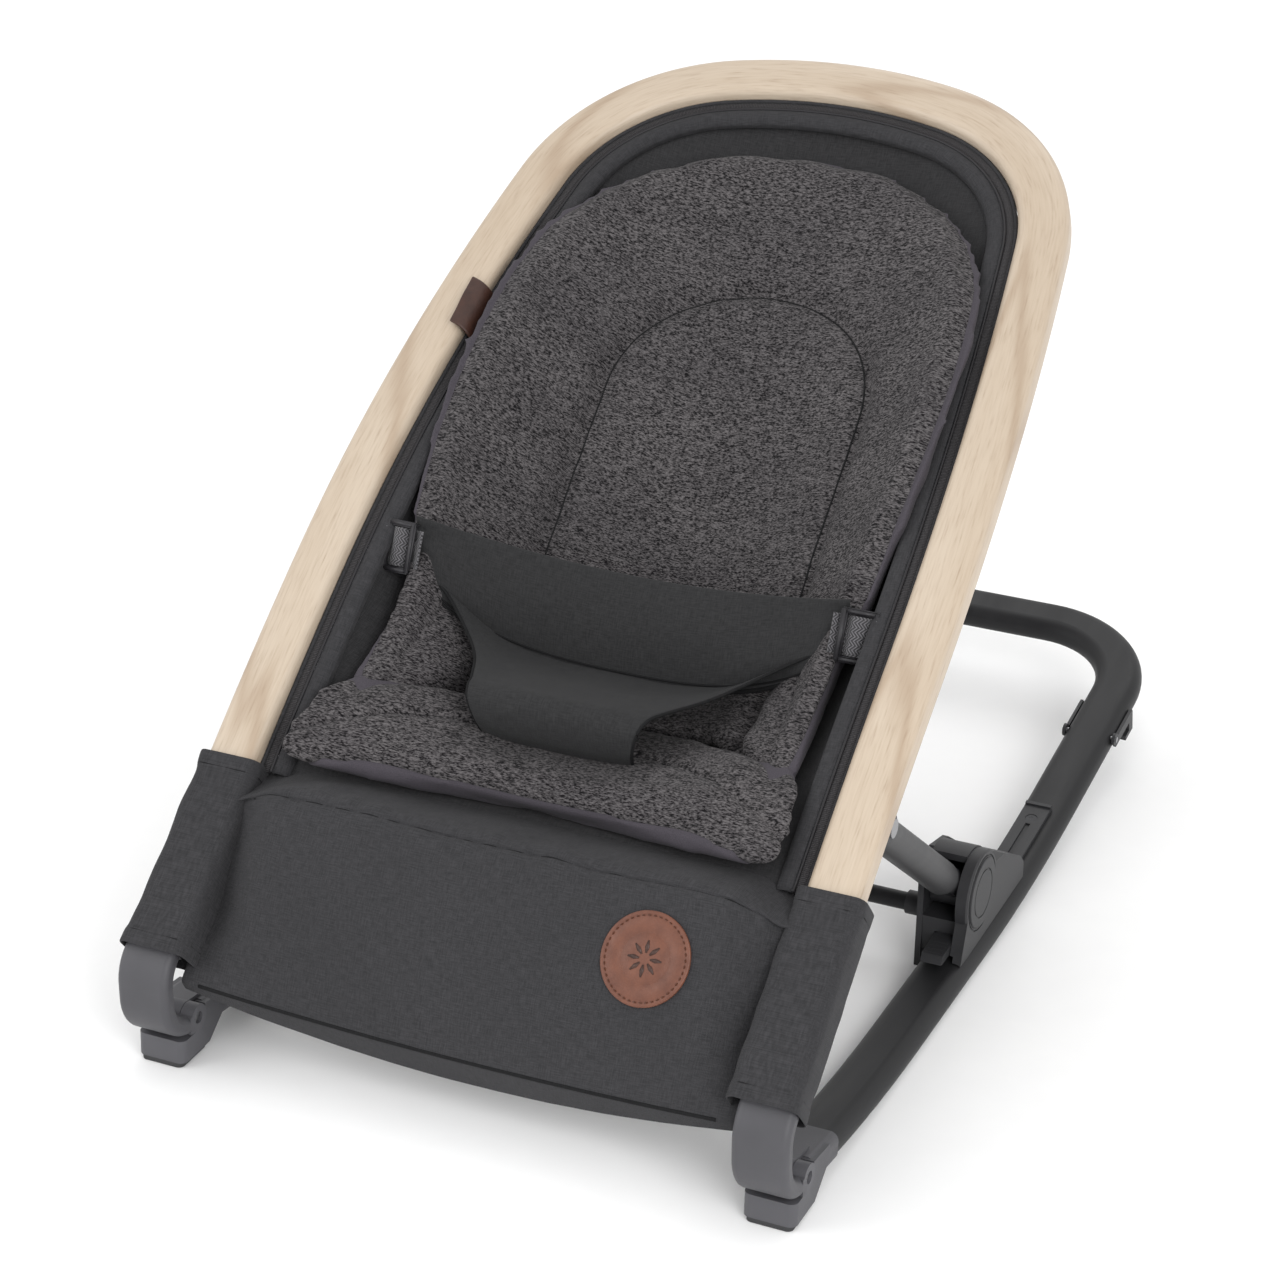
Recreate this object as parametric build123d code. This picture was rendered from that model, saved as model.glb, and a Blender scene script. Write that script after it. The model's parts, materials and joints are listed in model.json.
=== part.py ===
from build123d import *
import os
from math import asin, atan2, cos, degrees, radians, sin, sqrt

# Baby bouncer seat: a curved U-shaped tube base that rocks on the floor, and a bentwood arch seat frame
# hinged at the front feet. Struts hold the arch up and end in two carriages that slide on the rails.
# Lengths in millimetres. X is left to right, Y runs from the feet to the head, Z is up.
# Side-view positions are pairs (y, z), with y measured from the front feet and z from the floor.

os.makedirs("parts", exist_ok=True)

# --- driving dimensions -------------------------------------------------------------------------------
MIDDLE_Y = 354.4            # middle of the whole length: the origin of the finished part
GAP = 0.4                   # space between pieces that move past each other
TOUCH = 0.1                 # space between pieces of one body that sit together

RAIL_X = 207.5              # rail centre line, each side of the middle
RAIL_WIDE, RAIL_HIGH, RAIL_WALL = 34.0, 19.0, 1.6
RAIL_CORNER = 9.2           # corner radius of the flat-oval section
RAIL_FRONT_Y = 60.0         # the tube's front end, where the end fitting starts
FLAT_FROM, FLAT_TO = 200.0, 325.0   # level stretch that rests on the floor
FRONT_ARC_R, REAR_ARC_R = 1043.0, 1080.0
REAR_ARC_END_Y = 505.0      # the tube is straight from here to its rear corners
CORNER_START_Y = 643.0
CORNER_R = 74.0
RAIL_Z = RAIL_HIGH / 2      # centre height on the level stretch

PIN = (12.0, 28.0)          # seat hinge at the front feet
PIN_R = 4.0
PIN_FIT = 0.05              # running clearance round a pin, on the radius
KNUCKLE_R = 8.8
KNUCKLE_HALF = 8.6          # half width of the end fitting's knuckle, which the arm's fork spans
ARM_WIDE, ARM_THICK = 36.0, 12.0    # curved front arm
ARM_X = 207.5
FOOT_TOP = 18.6

LEG_SLOPE = 39.5            # degrees, slope of the seat frame's legs
WOOD_WIDE, WOOD_THICK = 34.0, 22.0
WOOD_X = 204.4              # arch centre line at the legs
HEM = (94.8, 164.5)         # where the wood comes out of the fabric sleeve
WOOD_BELOW_HEM = 25.0
LEG_WIDE, LEG_THICK = 30.0, 18.0
SIDE_BENDS = [(2280.0, -7.55), (3529.0, -5.0)]          # radius and turn of the arch seen from the side
ARCH_STRAIGHT = 150.0                                    # straight stretch of each leg above the hem
ARCH_BENDS = [(2405.0, 8.0), (135.0, 68.0), (330.0, 28.0), (135.0, 68.0), (2405.0, 8.0)]

STRUT_TOP = (158.4, 184.9)  # pivot under the arch leg
HUB = (321.0, 55.0)         # pivot in the carriage
STRUT_X = 200.0
STRUT_R, STRUT_WALL = 11.5, 1.5
AXLE_R = 4.0
CROSS = (321.0, 36.0)       # tie tube between the carriages
SCREW = (372.0, 38.0)       # cover screw of each carriage
STRUT_BORE_R = 9.0          # wide bore: the strut's lower pivot is the linkage's open one
STRUT_EYE_R = 12.0          # knuckle round that bore
STRUT_HALF = 11.6           # half width of both knuckles
STRUT_HEAD, STRUT_NECK = 18.0, 31.0     # how far the tube stops short of its upper and lower pivots
PLUG_LONG = 20.0            # moulded plug inside the tube
SHOULDER_HIGH = 16.0        # the shoulder is flattened to this height

INNER_WALL_X = (183.5, 187.6)   # carriage, across: inner wall, blocks between, outer cover
BLOCK_X = (187.6, 212.0)
COVER_X = (212.1, 220.4)
LATCH_X = 196.3             # the front block's side wall reaches this far out
INNER_OUTLINE = [(297, 4), (392, 12), (400, 32), (372, 58), (344, 78), (318, 84), (300, 74), (299, 43)]
FRONT_BLOCK = [(299, 32), (342, 32), (342, 42), (299, 42)]
SIDE_BLOCK = [(299, 17), (342, 17), (342, 32), (299, 32)]
STOP_BLOCK = [(338.2, 24.4), (342, 24.4), (342, 32), (338.2, 32)]
REAR_BLOCK = [(352, 22), (404, 26), (404, 40), (378, 52), (352, 52)]
COVER_OUTLINE = [(283, 18), (407, 22), (407, 34), (400, 42), (365, 62), (321, 70), (296, 50)]
HOOD_R = (30.0, 25.5)       # wall that wraps the strut's knuckle, outside and inside
COVER_R, CAP_R = 29.0, 23.9
CAP_X = (219.3, 221.4)
CROSS_R, CROSS_WALL = 6.0, 1.2
COLLAR_R, COLLAR_X = 8.0, (169.5, 183.4)
SCREW_R, SCREW_HEAD_R = 1.6, 3.2

LEVER_Z, LEVER_HIGH = 24.4, 7.2     # release tab: underside and height
LEVER_X = (197.2, 211.6)
LEVER_FROM, LEVER_TO = 270.0, 331.0
GRIP_STEP, GRIP_R = 4.0, 0.9        # grip grooves across the tab
SPRING_X, SPRING_UP = 204.4, 3.6    # spring and its pocket, above the tab's underside
POCKET_R, POCKET_LONG = 3.3, 20.0
SPRING_TURNS, SPRING_LONG, SPRING_WIRE, SPRING_R = 6, 15.5, 0.45, 2.5
SPRING_FROM = 322.0

TRACK_X, TRACK_WIDE, TRACK_HIGH = 204.2, 18.5, 3.0
TRACK_FROM, TRACK_TO = 345.0, 489.0


# --- helpers ------------------------------------------------------------------------------------------
def save(name, *solids):
    """Write one node: its solids, moved so that the origin is the middle of the footprint."""
    pieces = [Pos(0, -MIDDLE_Y, 0) * solid for body in solids for solid in body.solids()]
    export_step(pieces[0] if len(pieces) == 1 else Compound(children=pieces), f"parts/{name}.step")


def both(name, solid):
    """Write a right-hand piece and its mirror image as two nodes."""
    save(f"{name}_right", solid)
    save(f"{name}_left", mirror(solid, about=Plane.YZ))


def pair(name, *solids):
    """Write identical right and left pieces as one node of separate solids."""
    save(name, *solids, *[mirror(solid, about=Plane.YZ) for solid in solids])


def step(point, heading, length, turn):
    """Follow one stretch of a path: a line when turn is 0, else an arc of that radius."""
    a = radians(heading)
    if turn == 0:
        return (point[0] + length * cos(a), point[1] + length * sin(a)), heading
    side = 1 if turn > 0 else -1
    centre = (point[0] - side * length * sin(a), point[1] + side * length * cos(a))
    b = radians(heading + turn)
    return (centre[0] + side * length * sin(b), centre[1] - side * length * cos(b)), heading + turn


def chain(start, heading, runs, left=0.0):
    """Edges of a tangent path of (length or radius, turn) runs, offset to its left."""
    a = radians(heading)
    point = (start[0] - left * sin(a), start[1] + left * cos(a))
    edges = []
    for length, turn in runs:
        if turn:
            length = length - left if turn > 0 else length + left
        end, next_heading = step(point, heading, length, turn)
        if turn:
            middle, _ = step(point, heading, length, turn / 2)
            edges.append(ThreePointArc(point, middle, end))
        else:
            edges.append(Line(point, end))
        point, heading = end, next_heading
    return edges, point


def band(start, heading, runs, right, left):
    """Face between two offsets of a tangent path."""
    left_edges, left_end = chain(start, heading, runs, left)
    right_edges, right_end = chain(start, heading, runs, -right)
    a = radians(heading)
    left_start = (start[0] - left * sin(a), start[1] + left * cos(a))
    right_start = (start[0] + right * sin(a), start[1] - right * cos(a))
    ends = [Line(left_start, right_start), Line(left_end, right_end)]
    return make_face(left_edges + right_edges + ends)


def across(face, x_from, x_to):
    """Extrude a side-view (y, z) face from x_from to x_to."""
    return extrude(Plane.YZ.offset(x_from) * face, amount=x_to - x_from)


def polygon(*points):
    return make_face(Polyline(*points, close=True))


def rod(point, radius, x_from, x_to):
    """Cylinder along X through a side-view point."""
    return across(Pos(*point) * Circle(radius), x_from, x_to)


def swept(edges, x, wide, thick, corner):
    """Bar of rounded rectangular section along a path in the side view."""
    path = Plane.YZ.offset(x) * Wire(edges)
    start = Plane(origin=path @ 0, x_dir=(1, 0, 0), z_dir=path % 0)
    return sweep(start * RectangleRounded(wide, thick, corner), path=path)


# --- base rail ----------------------------------------------------------------------------------------
REAR_TURN = degrees(asin((REAR_ARC_END_Y - FLAT_TO) / REAR_ARC_R))
FRONT_TURN = degrees(asin((FLAT_FROM - RAIL_FRONT_Y) / FRONT_ARC_R))
RAIL_FRONT_Z = RAIL_Z + FRONT_ARC_R * (1 - cos(radians(FRONT_TURN)))
REAR_STRAIGHT = (CORNER_START_Y - REAR_ARC_END_Y) / cos(radians(REAR_TURN))
RAIL_RUNS = [(FRONT_ARC_R, FRONT_TURN), (FLAT_TO - FLAT_FROM, 0), (REAR_ARC_R, REAR_TURN), (REAR_STRAIGHT, 0)]
RAIL_START = (RAIL_FRONT_Y, RAIL_FRONT_Z)
RAIL_CENTRE = (FLAT_TO, RAIL_Z + REAR_ARC_R)     # centre of the rear arc, which the carriages follow


def rail_bar(grow):
    """One rail, without its rear corner, with the section grown by grow on every side."""
    edges, _ = chain(RAIL_START, -FRONT_TURN, RAIL_RUNS)
    return swept(edges, RAIL_X, RAIL_WIDE + 2 * grow, RAIL_HIGH + 2 * grow, RAIL_CORNER + grow)


def rail_half(grow):
    _, (end_y, end_z) = chain(RAIL_START, -FRONT_TURN, RAIL_RUNS)
    tilt = radians(REAR_TURN)
    along = Vector(0, cos(tilt), sin(tilt))
    end = Vector(RAIL_X, end_y, end_z)
    section = RectangleRounded(RAIL_WIDE + 2 * grow, RAIL_HIGH + 2 * grow, RAIL_CORNER + grow)
    centre = end - Vector(CORNER_R, 0, 0)
    corner = revolve(Plane(origin=end, x_dir=(1, 0, 0), z_dir=along) * section,
                     axis=Axis(centre, (0, -sin(tilt), cos(tilt))), revolution_arc=90)
    bar_start = centre + along * CORNER_R
    bar = extrude(Plane(origin=bar_start, x_dir=along, z_dir=(-1, 0, 0)) * section, amount=bar_start.X)
    return rail_bar(grow) + corner + bar


def base_tube():
    outer = rail_half(0)
    inner = rail_half(-RAIL_WALL)
    holes = rod(stop_pivot(), 2.0, RAIL_X - 25, RAIL_X + 25) + track_hole(2.05, 24)
    half = outer - inner - holes
    return half + mirror(half, about=Plane.YZ)


def on_rail(y, up):
    """Side-view point on the rail's rear arc, up from its centre line, with the slope there."""
    a = asin((y - FLAT_TO) / REAR_ARC_R)
    z = RAIL_Z + REAR_ARC_R * (1 - cos(a))
    return (y - up * sin(a), z + up * cos(a)), degrees(a)


def along_rail(face, y_from, y_to):
    """Sweep an (x, height above the rail's centre line) face along the rear arc."""
    from_turn, to_turn = on_rail(y_from, 0)[1], on_rail(y_to, 0)[1]
    axis = Axis((0, RAIL_CENTRE[0], RAIL_CENTRE[1]), (1, 0, 0))
    plane = Plane(origin=(0, FLAT_TO, RAIL_Z), x_dir=(1, 0, 0), z_dir=(0, -1, 0))
    return revolve(plane * face, axis=axis, revolution_arc=to_turn - from_turn).rotate(axis, from_turn)


# --- front end: fitting, foot, hinge pin and curved arm -----------------------------------------------
NECK_LONG = 38.0
FOOT_HALF = 17.0
FOOT_OUTLINE = [(-7, 3.1), (24, 3.1), (40, 15), (48, 20), (46, 30), (12, 34), (-6, FOOT_TOP)]
WEB_OUTLINE = [(PIN[0], 19.4), (34, 17), (34, 34), (PIN[0], 36.6)]
SWING_OUTLINE = [(-40, FOOT_TOP), (PIN[0], FOOT_TOP), PIN, (PIN[0] + 9.2, PIN[1]), (24, 70), (-40, 70)]


def end_fitting():
    """Plastic cradle on the rail's front end: plug, neck, foot block and a centre knuckle for the pin."""
    edges, _ = chain(RAIL_START, 180 - FRONT_TURN, [(NECK_LONG, 0)])
    neck = swept(edges, RAIL_X, RAIL_WIDE, RAIL_HIGH, 6.0)
    plug_edges, _ = chain(RAIL_START, -FRONT_TURN, [(FRONT_ARC_R, FRONT_TURN * 0.25)])
    inner_wide = RAIL_WIDE - 2 * RAIL_WALL - 2 * TOUCH
    inner_high = RAIL_HIGH - 2 * RAIL_WALL - 2 * TOUCH
    plug = swept(plug_edges, RAIL_X, inner_wide, inner_high, RAIL_CORNER - RAIL_WALL - TOUCH)
    foot = across(polygon(*FOOT_OUTLINE), RAIL_X - FOOT_HALF, RAIL_X + FOOT_HALF)
    foot = fillet(foot.edges().filter_by(Axis.Z, tolerance=40).group_by(Axis.Y)[0], 5)
    inside, outside = RAIL_X - KNUCKLE_HALF, RAIL_X + KNUCKLE_HALF
    knuckle = rod(PIN, KNUCKLE_R, inside, outside)
    web = across(polygon(*WEB_OUTLINE), inside, outside) - rod(PIN, KNUCKLE_R - TOUCH, 0, 300)
    arm_path = across(Pos(*PIN) * Circle(KNUCKLE_R + GAP) + polygon(*SWING_OUTLINE), RAIL_X - 30, RAIL_X + 30)
    body = (neck + foot) - arm_path
    return body + plug + knuckle + web - rod(PIN, PIN_R, 0, 300)


def foot_pad():
    pad = across(polygon((-7, 0), (24, 0), (24, 3), (-7, 3)), RAIL_X - 15, RAIL_X + 15)
    return fillet(pad.edges().filter_by(Axis.Z), 4)


ARM_RUNS = [(26.0, -90.0), (11.0, 0), (24.0, -(90 - LEG_SLOPE)), (3.0, 0)]
ARM_START = (8.0, 26.0)


def curved_arm():
    """Front arm: one flat curved bar from the hinge knuckle up and back to the leg."""
    edges, _ = chain(ARM_START, 180, ARM_RUNS)
    bar = swept(edges, ARM_X, ARM_WIDE, ARM_THICK, 4.5)
    knuckle = rod(PIN, KNUCKLE_R, ARM_X - ARM_WIDE / 2, ARM_X + ARM_WIDE / 2)
    bridge = across(polygon((2, 20.4), (PIN[0], 19.2), (PIN[0], 34), (2, 32)),
                    ARM_X - ARM_WIDE / 2, ARM_X + ARM_WIDE / 2)
    slot = across(Pos(*PIN) * Circle(KNUCKLE_R + GAP) + Pos(PIN[0] + 10, PIN[1]) * Rectangle(20, 24),
                  RAIL_X - KNUCKLE_HALF - GAP, RAIL_X + KNUCKLE_HALF + GAP)
    return bar + knuckle + bridge - slot - rod(PIN, PIN_R + PIN_FIT, 0, 300)


def arm_end():
    _, end = chain(ARM_START, 180, ARM_RUNS)
    return end


def hinge_pin():
    return rod(PIN, PIN_R, ARM_X - ARM_WIDE / 2 + 2, ARM_X + ARM_WIDE / 2 - 2)


# --- seat frame ---------------------------------------------------------------------------------------
def wood_end():
    a = radians(LEG_SLOPE)
    return HEM[0] - WOOD_BELOW_HEM * cos(a), HEM[1] - WOOD_BELOW_HEM * sin(a)


def frame_at(s):
    """Side-view point and slope of the arch's centre line, s along it from the hem."""
    if s <= 0:
        return step(HEM, LEG_SLOPE, s, 0)
    first_r, first_turn = SIDE_BENDS[0]
    first_length = first_r * radians(-first_turn)
    if s <= first_length:
        return step(HEM, LEG_SLOPE, first_r, -degrees(s / first_r))
    point, slope = step(HEM, LEG_SLOPE, first_r, first_turn)
    second_r = SIDE_BENDS[1][0]
    return step(point, slope, second_r, -degrees((s - first_length) / second_r))


ARCH_TOP = frame_at(607)[0]
CHORD_SLOPE = degrees(atan2(ARCH_TOP[1] - HEM[1], ARCH_TOP[0] - HEM[0]))
ARCH_PLANE = Plane(origin=(0, *HEM), x_dir=(1, 0, 0),
                   z_dir=(0, -sin(radians(CHORD_SLOPE)), cos(radians(CHORD_SLOPE))))


def arch_bar(low, right, left, below, above):
    """Arch-shaped bar: the U outline between two offsets, cut from the curved sheet seen in side view."""
    below_hem = 60
    start = step(HEM, LEG_SLOPE, -below_hem, 0)[0]
    side_runs = [(below_hem, 0)] + SIDE_BENDS + [(80, 0)]
    sheet = across(band(start, LEG_SLOPE, side_runs, below, above), -260, 260)
    runs = [(ARCH_STRAIGHT + low, 0)] + ARCH_BENDS + [(ARCH_STRAIGHT + low, 0)]
    outline = band((WOOD_X, -low), 90, runs, right, left)
    return sheet & extrude(ARCH_PLANE * outline, amount=90, both=True)


def leg_length():
    a = radians(LEG_SLOPE)
    (y0, z0), (y1, z1) = arm_end(), wood_end()
    return (y1 - y0) * cos(a) + (z1 - z0) * sin(a)


def leg_plane(distance):
    """Plane across the leg, at a distance from its lower end: its Y points down, away from the seat."""
    a = radians(LEG_SLOPE)
    y, z = arm_end()
    return Plane(origin=(WOOD_X, y + distance * cos(a), z + distance * sin(a)),
                 x_dir=(1, 0, 0), z_dir=(0, cos(a), sin(a)))


TONGUE_WIDE, TONGUE_THICK, TONGUE_LONG = 20.0, 8.0, 42.0


def tongue(grow):
    face = RectangleRounded(TONGUE_WIDE + 2 * grow, TONGUE_THICK + 2 * grow, 2)
    return extrude(leg_plane(leg_length() - 3) * face, amount=TONGUE_LONG + 3 + grow)


def bolt_plane():
    """Plane whose normal is the bolt's direction, across the wood near its lower end."""
    a = radians(LEG_SLOPE)
    plane = leg_plane(leg_length() + 12)
    return Plane(origin=plane.origin, x_dir=(1, 0, 0), z_dir=(0, -sin(a), cos(a)))


def wood_arch():
    arch = arch_bar(WOOD_BELOW_HEM, WOOD_WIDE / 2, WOOD_WIDE / 2, WOOD_THICK / 2, WOOD_THICK / 2)
    arch = fillet([e for e in arch.edges() if e.length > 40], 6.0)
    pocket = tongue(TOUCH)
    bore = extrude(bolt_plane() * Circle(3.1), amount=30, both=True)
    cuts = pocket + bore
    return arch - cuts - mirror(cuts, about=Plane.YZ)


def leg():
    length = leg_length()
    tube = extrude(leg_plane(0.2) * RectangleRounded(LEG_WIDE, LEG_THICK, 5), amount=length - 2.6)
    inner = RectangleRounded(LEG_WIDE - 3, LEG_THICK - 3, 3.5)
    hollow = extrude(leg_plane(0) * inner, amount=length - 5.4)
    bore = extrude(bolt_plane() * Circle(3.1), amount=30, both=True)
    return tube - hollow + tongue(0) - bore


def arch_bolt():
    shank = extrude(bolt_plane().offset(-10) * Circle(3), amount=18)
    head = extrude(bolt_plane().offset(-14.2) * Circle(5), amount=0.9)
    neck = extrude(bolt_plane().offset(-13.5) * Circle(3), amount=4)
    return shank + head + neck


def pivot_bracket():
    """Clevis under the arch leg that holds the strut's upper end."""
    a = radians(LEG_SLOPE)
    depth = -((STRUT_TOP[1] - HEM[1]) * cos(a) - (STRUT_TOP[0] - HEM[0]) * sin(a))
    reach = depth - WOOD_THICK / 2 - 1.3
    turned = Pos(*STRUT_TOP) * Rot(0, 0, LEG_SLOPE - 1)
    ear = turned * (Circle(9) + Pos(0, (reach - 1) / 2) * Rectangle(18, reach - 1))
    foot = turned * (Pos(0, reach - 1.6) * Rectangle(34, 2.6))
    ears = across(ear, STRUT_X - 15.2, STRUT_X - 12.0) + across(ear, STRUT_X + 12.0, STRUT_X + 15.2)
    plate = across(foot, STRUT_X - 15.2, STRUT_X + 15.2)
    return ears + plate - rod(STRUT_TOP, PIN_R, 100, 300)


def pivot_pin():
    shank = rod(STRUT_TOP, PIN_R, STRUT_X - 17.2, STRUT_X + 17.2)
    heads = rod(STRUT_TOP, 6, STRUT_X - 17.2, STRUT_X - 15.3) + rod(STRUT_TOP, 6, STRUT_X + 15.3, STRUT_X + 17.2)
    return shank + heads


# --- strut --------------------------------------------------------------------------------------------
STRUT_ANGLE = degrees(atan2(HUB[1] - STRUT_TOP[1], HUB[0] - STRUT_TOP[0]))
STRUT_LENGTH = sqrt((HUB[1] - STRUT_TOP[1]) ** 2 + (HUB[0] - STRUT_TOP[0]) ** 2)


def strut_plane(distance):
    a = radians(STRUT_ANGLE)
    return Plane(origin=(STRUT_X, STRUT_TOP[0] + distance * cos(a), STRUT_TOP[1] + distance * sin(a)),
                 x_dir=(1, 0, 0), z_dir=(0, cos(a), sin(a)))


def strut_tube():
    ring = Circle(STRUT_R) - Circle(STRUT_R - STRUT_WALL)
    return extrude(strut_plane(STRUT_HEAD) * ring, amount=STRUT_LENGTH - STRUT_NECK - STRUT_HEAD)


def strut_end(at_top):
    """Moulded end: a knuckle round the pivot, a shoulder and a plug inside the tube."""
    pivot = STRUT_TOP if at_top else HUB
    bore = PIN_R + PIN_FIT if at_top else STRUT_BORE_R
    eye = rod(pivot, KNUCKLE_HALF if at_top else STRUT_EYE_R, STRUT_X - STRUT_HALF, STRUT_X + STRUT_HALF)
    near = 2 if at_top else STRUT_LENGTH - STRUT_NECK
    far = STRUT_HEAD if at_top else STRUT_LENGTH - 4
    shoulder = extrude(strut_plane(near) * (Circle(STRUT_R) & Rectangle(2 * STRUT_R, SHOULDER_HIGH)),
                       amount=far - near)
    plug_from = STRUT_HEAD if at_top else STRUT_LENGTH - STRUT_NECK - PLUG_LONG
    plug = extrude(strut_plane(plug_from) * Circle(STRUT_R - STRUT_WALL - TOUCH), amount=PLUG_LONG)
    return eye + shoulder + plug - rod(pivot, bore, 100, 300)


# --- carriage -----------------------------------------------------------------------------------------
def hub_clearance():
    """What the carriage must stay off along its whole travel: the rail's arc and the track on it."""
    section = Pos(RAIL_X, 0) * RectangleRounded(RAIL_WIDE + 2 * GAP, RAIL_HIGH + 2 * GAP, RAIL_CORNER)
    channel = Pos(TRACK_X, RAIL_HIGH / 2 + 1) * Rectangle(TRACK_WIDE + 2, 2 * TRACK_HIGH + 1.2)
    return along_rail(section + channel, 255, 520)


def hub_body():
    """Inner housing: inner wall, floor over the rail, front block and the wall that wraps the strut."""
    body = across(polygon(*INNER_OUTLINE), *INNER_WALL_X) + across(polygon(*SIDE_BLOCK), BLOCK_X[0], LATCH_X)
    for outline in (FRONT_BLOCK, STOP_BLOCK, REAR_BLOCK):
        body += across(polygon(*outline), *BLOCK_X)
    wrap = Pos(*HUB) * (Circle(HOOD_R[0]) - Circle(HOOD_R[1]))
    kept = polygon((HUB[0] - 8, HUB[1] + 40), (HUB[0] - 8, HUB[1] + 17), (HUB[0] + 10, HUB[1]),
                   (HUB[0] + 40, HUB[1] - 6), (HUB[0] + 40, HUB[1] + 40))
    body += across(wrap & kept, *BLOCK_X)
    bores = rod(HUB, AXLE_R, 0, 300) + rod(CROSS, CROSS_R + TOUCH, 0, 184.6) \
        + rod(SCREW, SCREW_R + PIN_FIT, 183, 211)
    return body - hub_clearance() - bores


def hub_cover():
    """Outer shell: a round face over a wedge whose lower edge follows the rail."""
    shell = across(polygon(*COVER_OUTLINE) + Pos(*HUB) * Circle(COVER_R), *COVER_X)
    shell = chamfer([e for e in shell.edges().filter_by(GeomType.CIRCLE)
                     if e.center().X > COVER_X[1] - GAP], 1.2)
    groove = across(Pos(*HUB) * (Circle(CAP_R + 2.1) - Circle(CAP_R + 1.1)), COVER_X[1] - 0.8, CAP_X[1])
    seat = rod(HUB, CAP_R + TOUCH, CAP_X[0] - TOUCH, CAP_X[1])
    return shell - groove - seat - rod(HUB, AXLE_R, 0, 300) - hub_clearance()


def hub_cap():
    cap = rod(HUB, CAP_R, *CAP_X)
    cap = chamfer([e for e in cap.edges() if e.center().X > CAP_X[1] - GAP], 0.6)
    ring = across(Pos(*HUB) * (Circle(17) - Circle(16)), CAP_X[1] - 0.6, CAP_X[1] + 0.6)
    return cap - ring


def hub_axle():
    return rod(HUB, AXLE_R, INNER_WALL_X[0] + TOUCH, CAP_X[0] - 2 * TOUCH)


def cross_tube():
    reach = INNER_WALL_X[0] + 0.9
    return rod(CROSS, CROSS_R, -reach, reach) - rod(CROSS, CROSS_R - CROSS_WALL, -reach, reach)


def collar():
    return rod(CROSS, COLLAR_R, *COLLAR_X) - rod(CROSS, CROSS_R + PIN_FIT, 169, 184)


def hub_screw():
    head = rod(SCREW, SCREW_HEAD_R, INNER_WALL_X[0] - 1.9, INNER_WALL_X[0] - TOUCH)
    shank = rod(SCREW, SCREW_R, INNER_WALL_X[0] - TOUCH, 210)
    return head + shank


def release_lever():
    """Finger tab under the front block that draws the latch back into the carriage."""
    low, high = LEVER_Z, LEVER_Z + LEVER_HIGH
    tab = across(polygon((LEVER_FROM, low + 0.8), (LEVER_FROM + 3, low), (LEVER_TO, low), (LEVER_TO, high),
                         (LEVER_FROM + 26, high), (LEVER_FROM + 3, high - 1.2)), *LEVER_X)
    for i in range(4):
        groove = (LEVER_FROM + 6 + GRIP_STEP * i, high - 0.3 + 0.22 * i)
        tab -= rod(groove, GRIP_R, LEVER_X[0] + 1.8, LEVER_X[1] - 1.6)
    pocket = extrude(Plane(origin=(SPRING_X, SPRING_FROM - 6, LEVER_Z + SPRING_UP), x_dir=(1, 0, 0),
                           z_dir=(0, 1, 0)) * Circle(POCKET_R), amount=POCKET_LONG)
    return tab - pocket


def lever_spring():
    """Return spring in the lever's pocket, against the carriage's stop wall."""
    coil = Helix(pitch=SPRING_LONG / SPRING_TURNS, height=SPRING_LONG, radius=SPRING_R)
    wire_plane = Plane(origin=coil @ 0, z_dir=coil % 0)
    spring = sweep(wire_plane * Circle(SPRING_WIRE), path=coil, is_frenet=True)
    return Pos(SPRING_X, SPRING_FROM, LEVER_Z + SPRING_UP) * Rot(-90, 0, 0) * spring


def track():
    """Guide strip on top of the rail, with a centre groove and a raised stop at its rear end."""
    top = RAIL_HIGH / 2
    strip = along_rail(Pos(TRACK_X, top + TRACK_HIGH / 2 - 1) * Rectangle(TRACK_WIDE, TRACK_HIGH + 2),
                       TRACK_FROM, TRACK_TO)
    stop = along_rail(Pos(TRACK_X, top + TRACK_HIGH / 2 + 0.6) * Rectangle(TRACK_WIDE, TRACK_HIGH + 1.6),
                      TRACK_TO - 3, TRACK_TO)
    groove = along_rail(Pos(TRACK_X, top + TRACK_HIGH) * Rectangle(3.5, 2.4), TRACK_FROM + 6, TRACK_TO - 24)
    return strip + stop - groove - track_hole(2.05, 14) - track_hole(4.2, 4.4) - rail_bar(0)


def track_hole(radius, depth):
    """Hole down through the track's top, centred on its screw."""
    (y, z), slope = on_rail(472, RAIL_HIGH / 2 + TRACK_HIGH)
    return Pos(TRACK_X, y, z) * Rot(slope, 0, 0) * Cylinder(radius, depth)


def track_screw():
    (y, z), slope = on_rail(472, RAIL_HIGH / 2 + TRACK_HIGH)
    screw = Pos(0, 0, -1.2) * Cylinder(4.0, 1.8) + Pos(0, 0, -6.5) * Cylinder(2.0, 9)
    recess = Pos(0, 0, -0.4) * extrude(RegularPolygon(1.6, 6), amount=2)
    return Pos(TRACK_X, y, z) * Rot(slope, 0, 0) * (screw - recess)


# --- flip-down stop foot ------------------------------------------------------------------------------
STOP_Y = 589.0


def stop_frame():
    """Rail point and slope where the stop foot is hinged, on the straight rear stretch."""
    slope = REAR_TURN
    end_z = RAIL_Z + REAR_ARC_R * (1 - cos(radians(slope)))
    return (STOP_Y, end_z + (STOP_Y - REAR_ARC_END_Y) * sin(radians(slope)) / cos(radians(slope))), slope


def stop_pivot():
    centre, slope = stop_frame()
    return centre[0] - 3 * sin(radians(slope)), centre[1] + 3 * cos(radians(slope))


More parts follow.
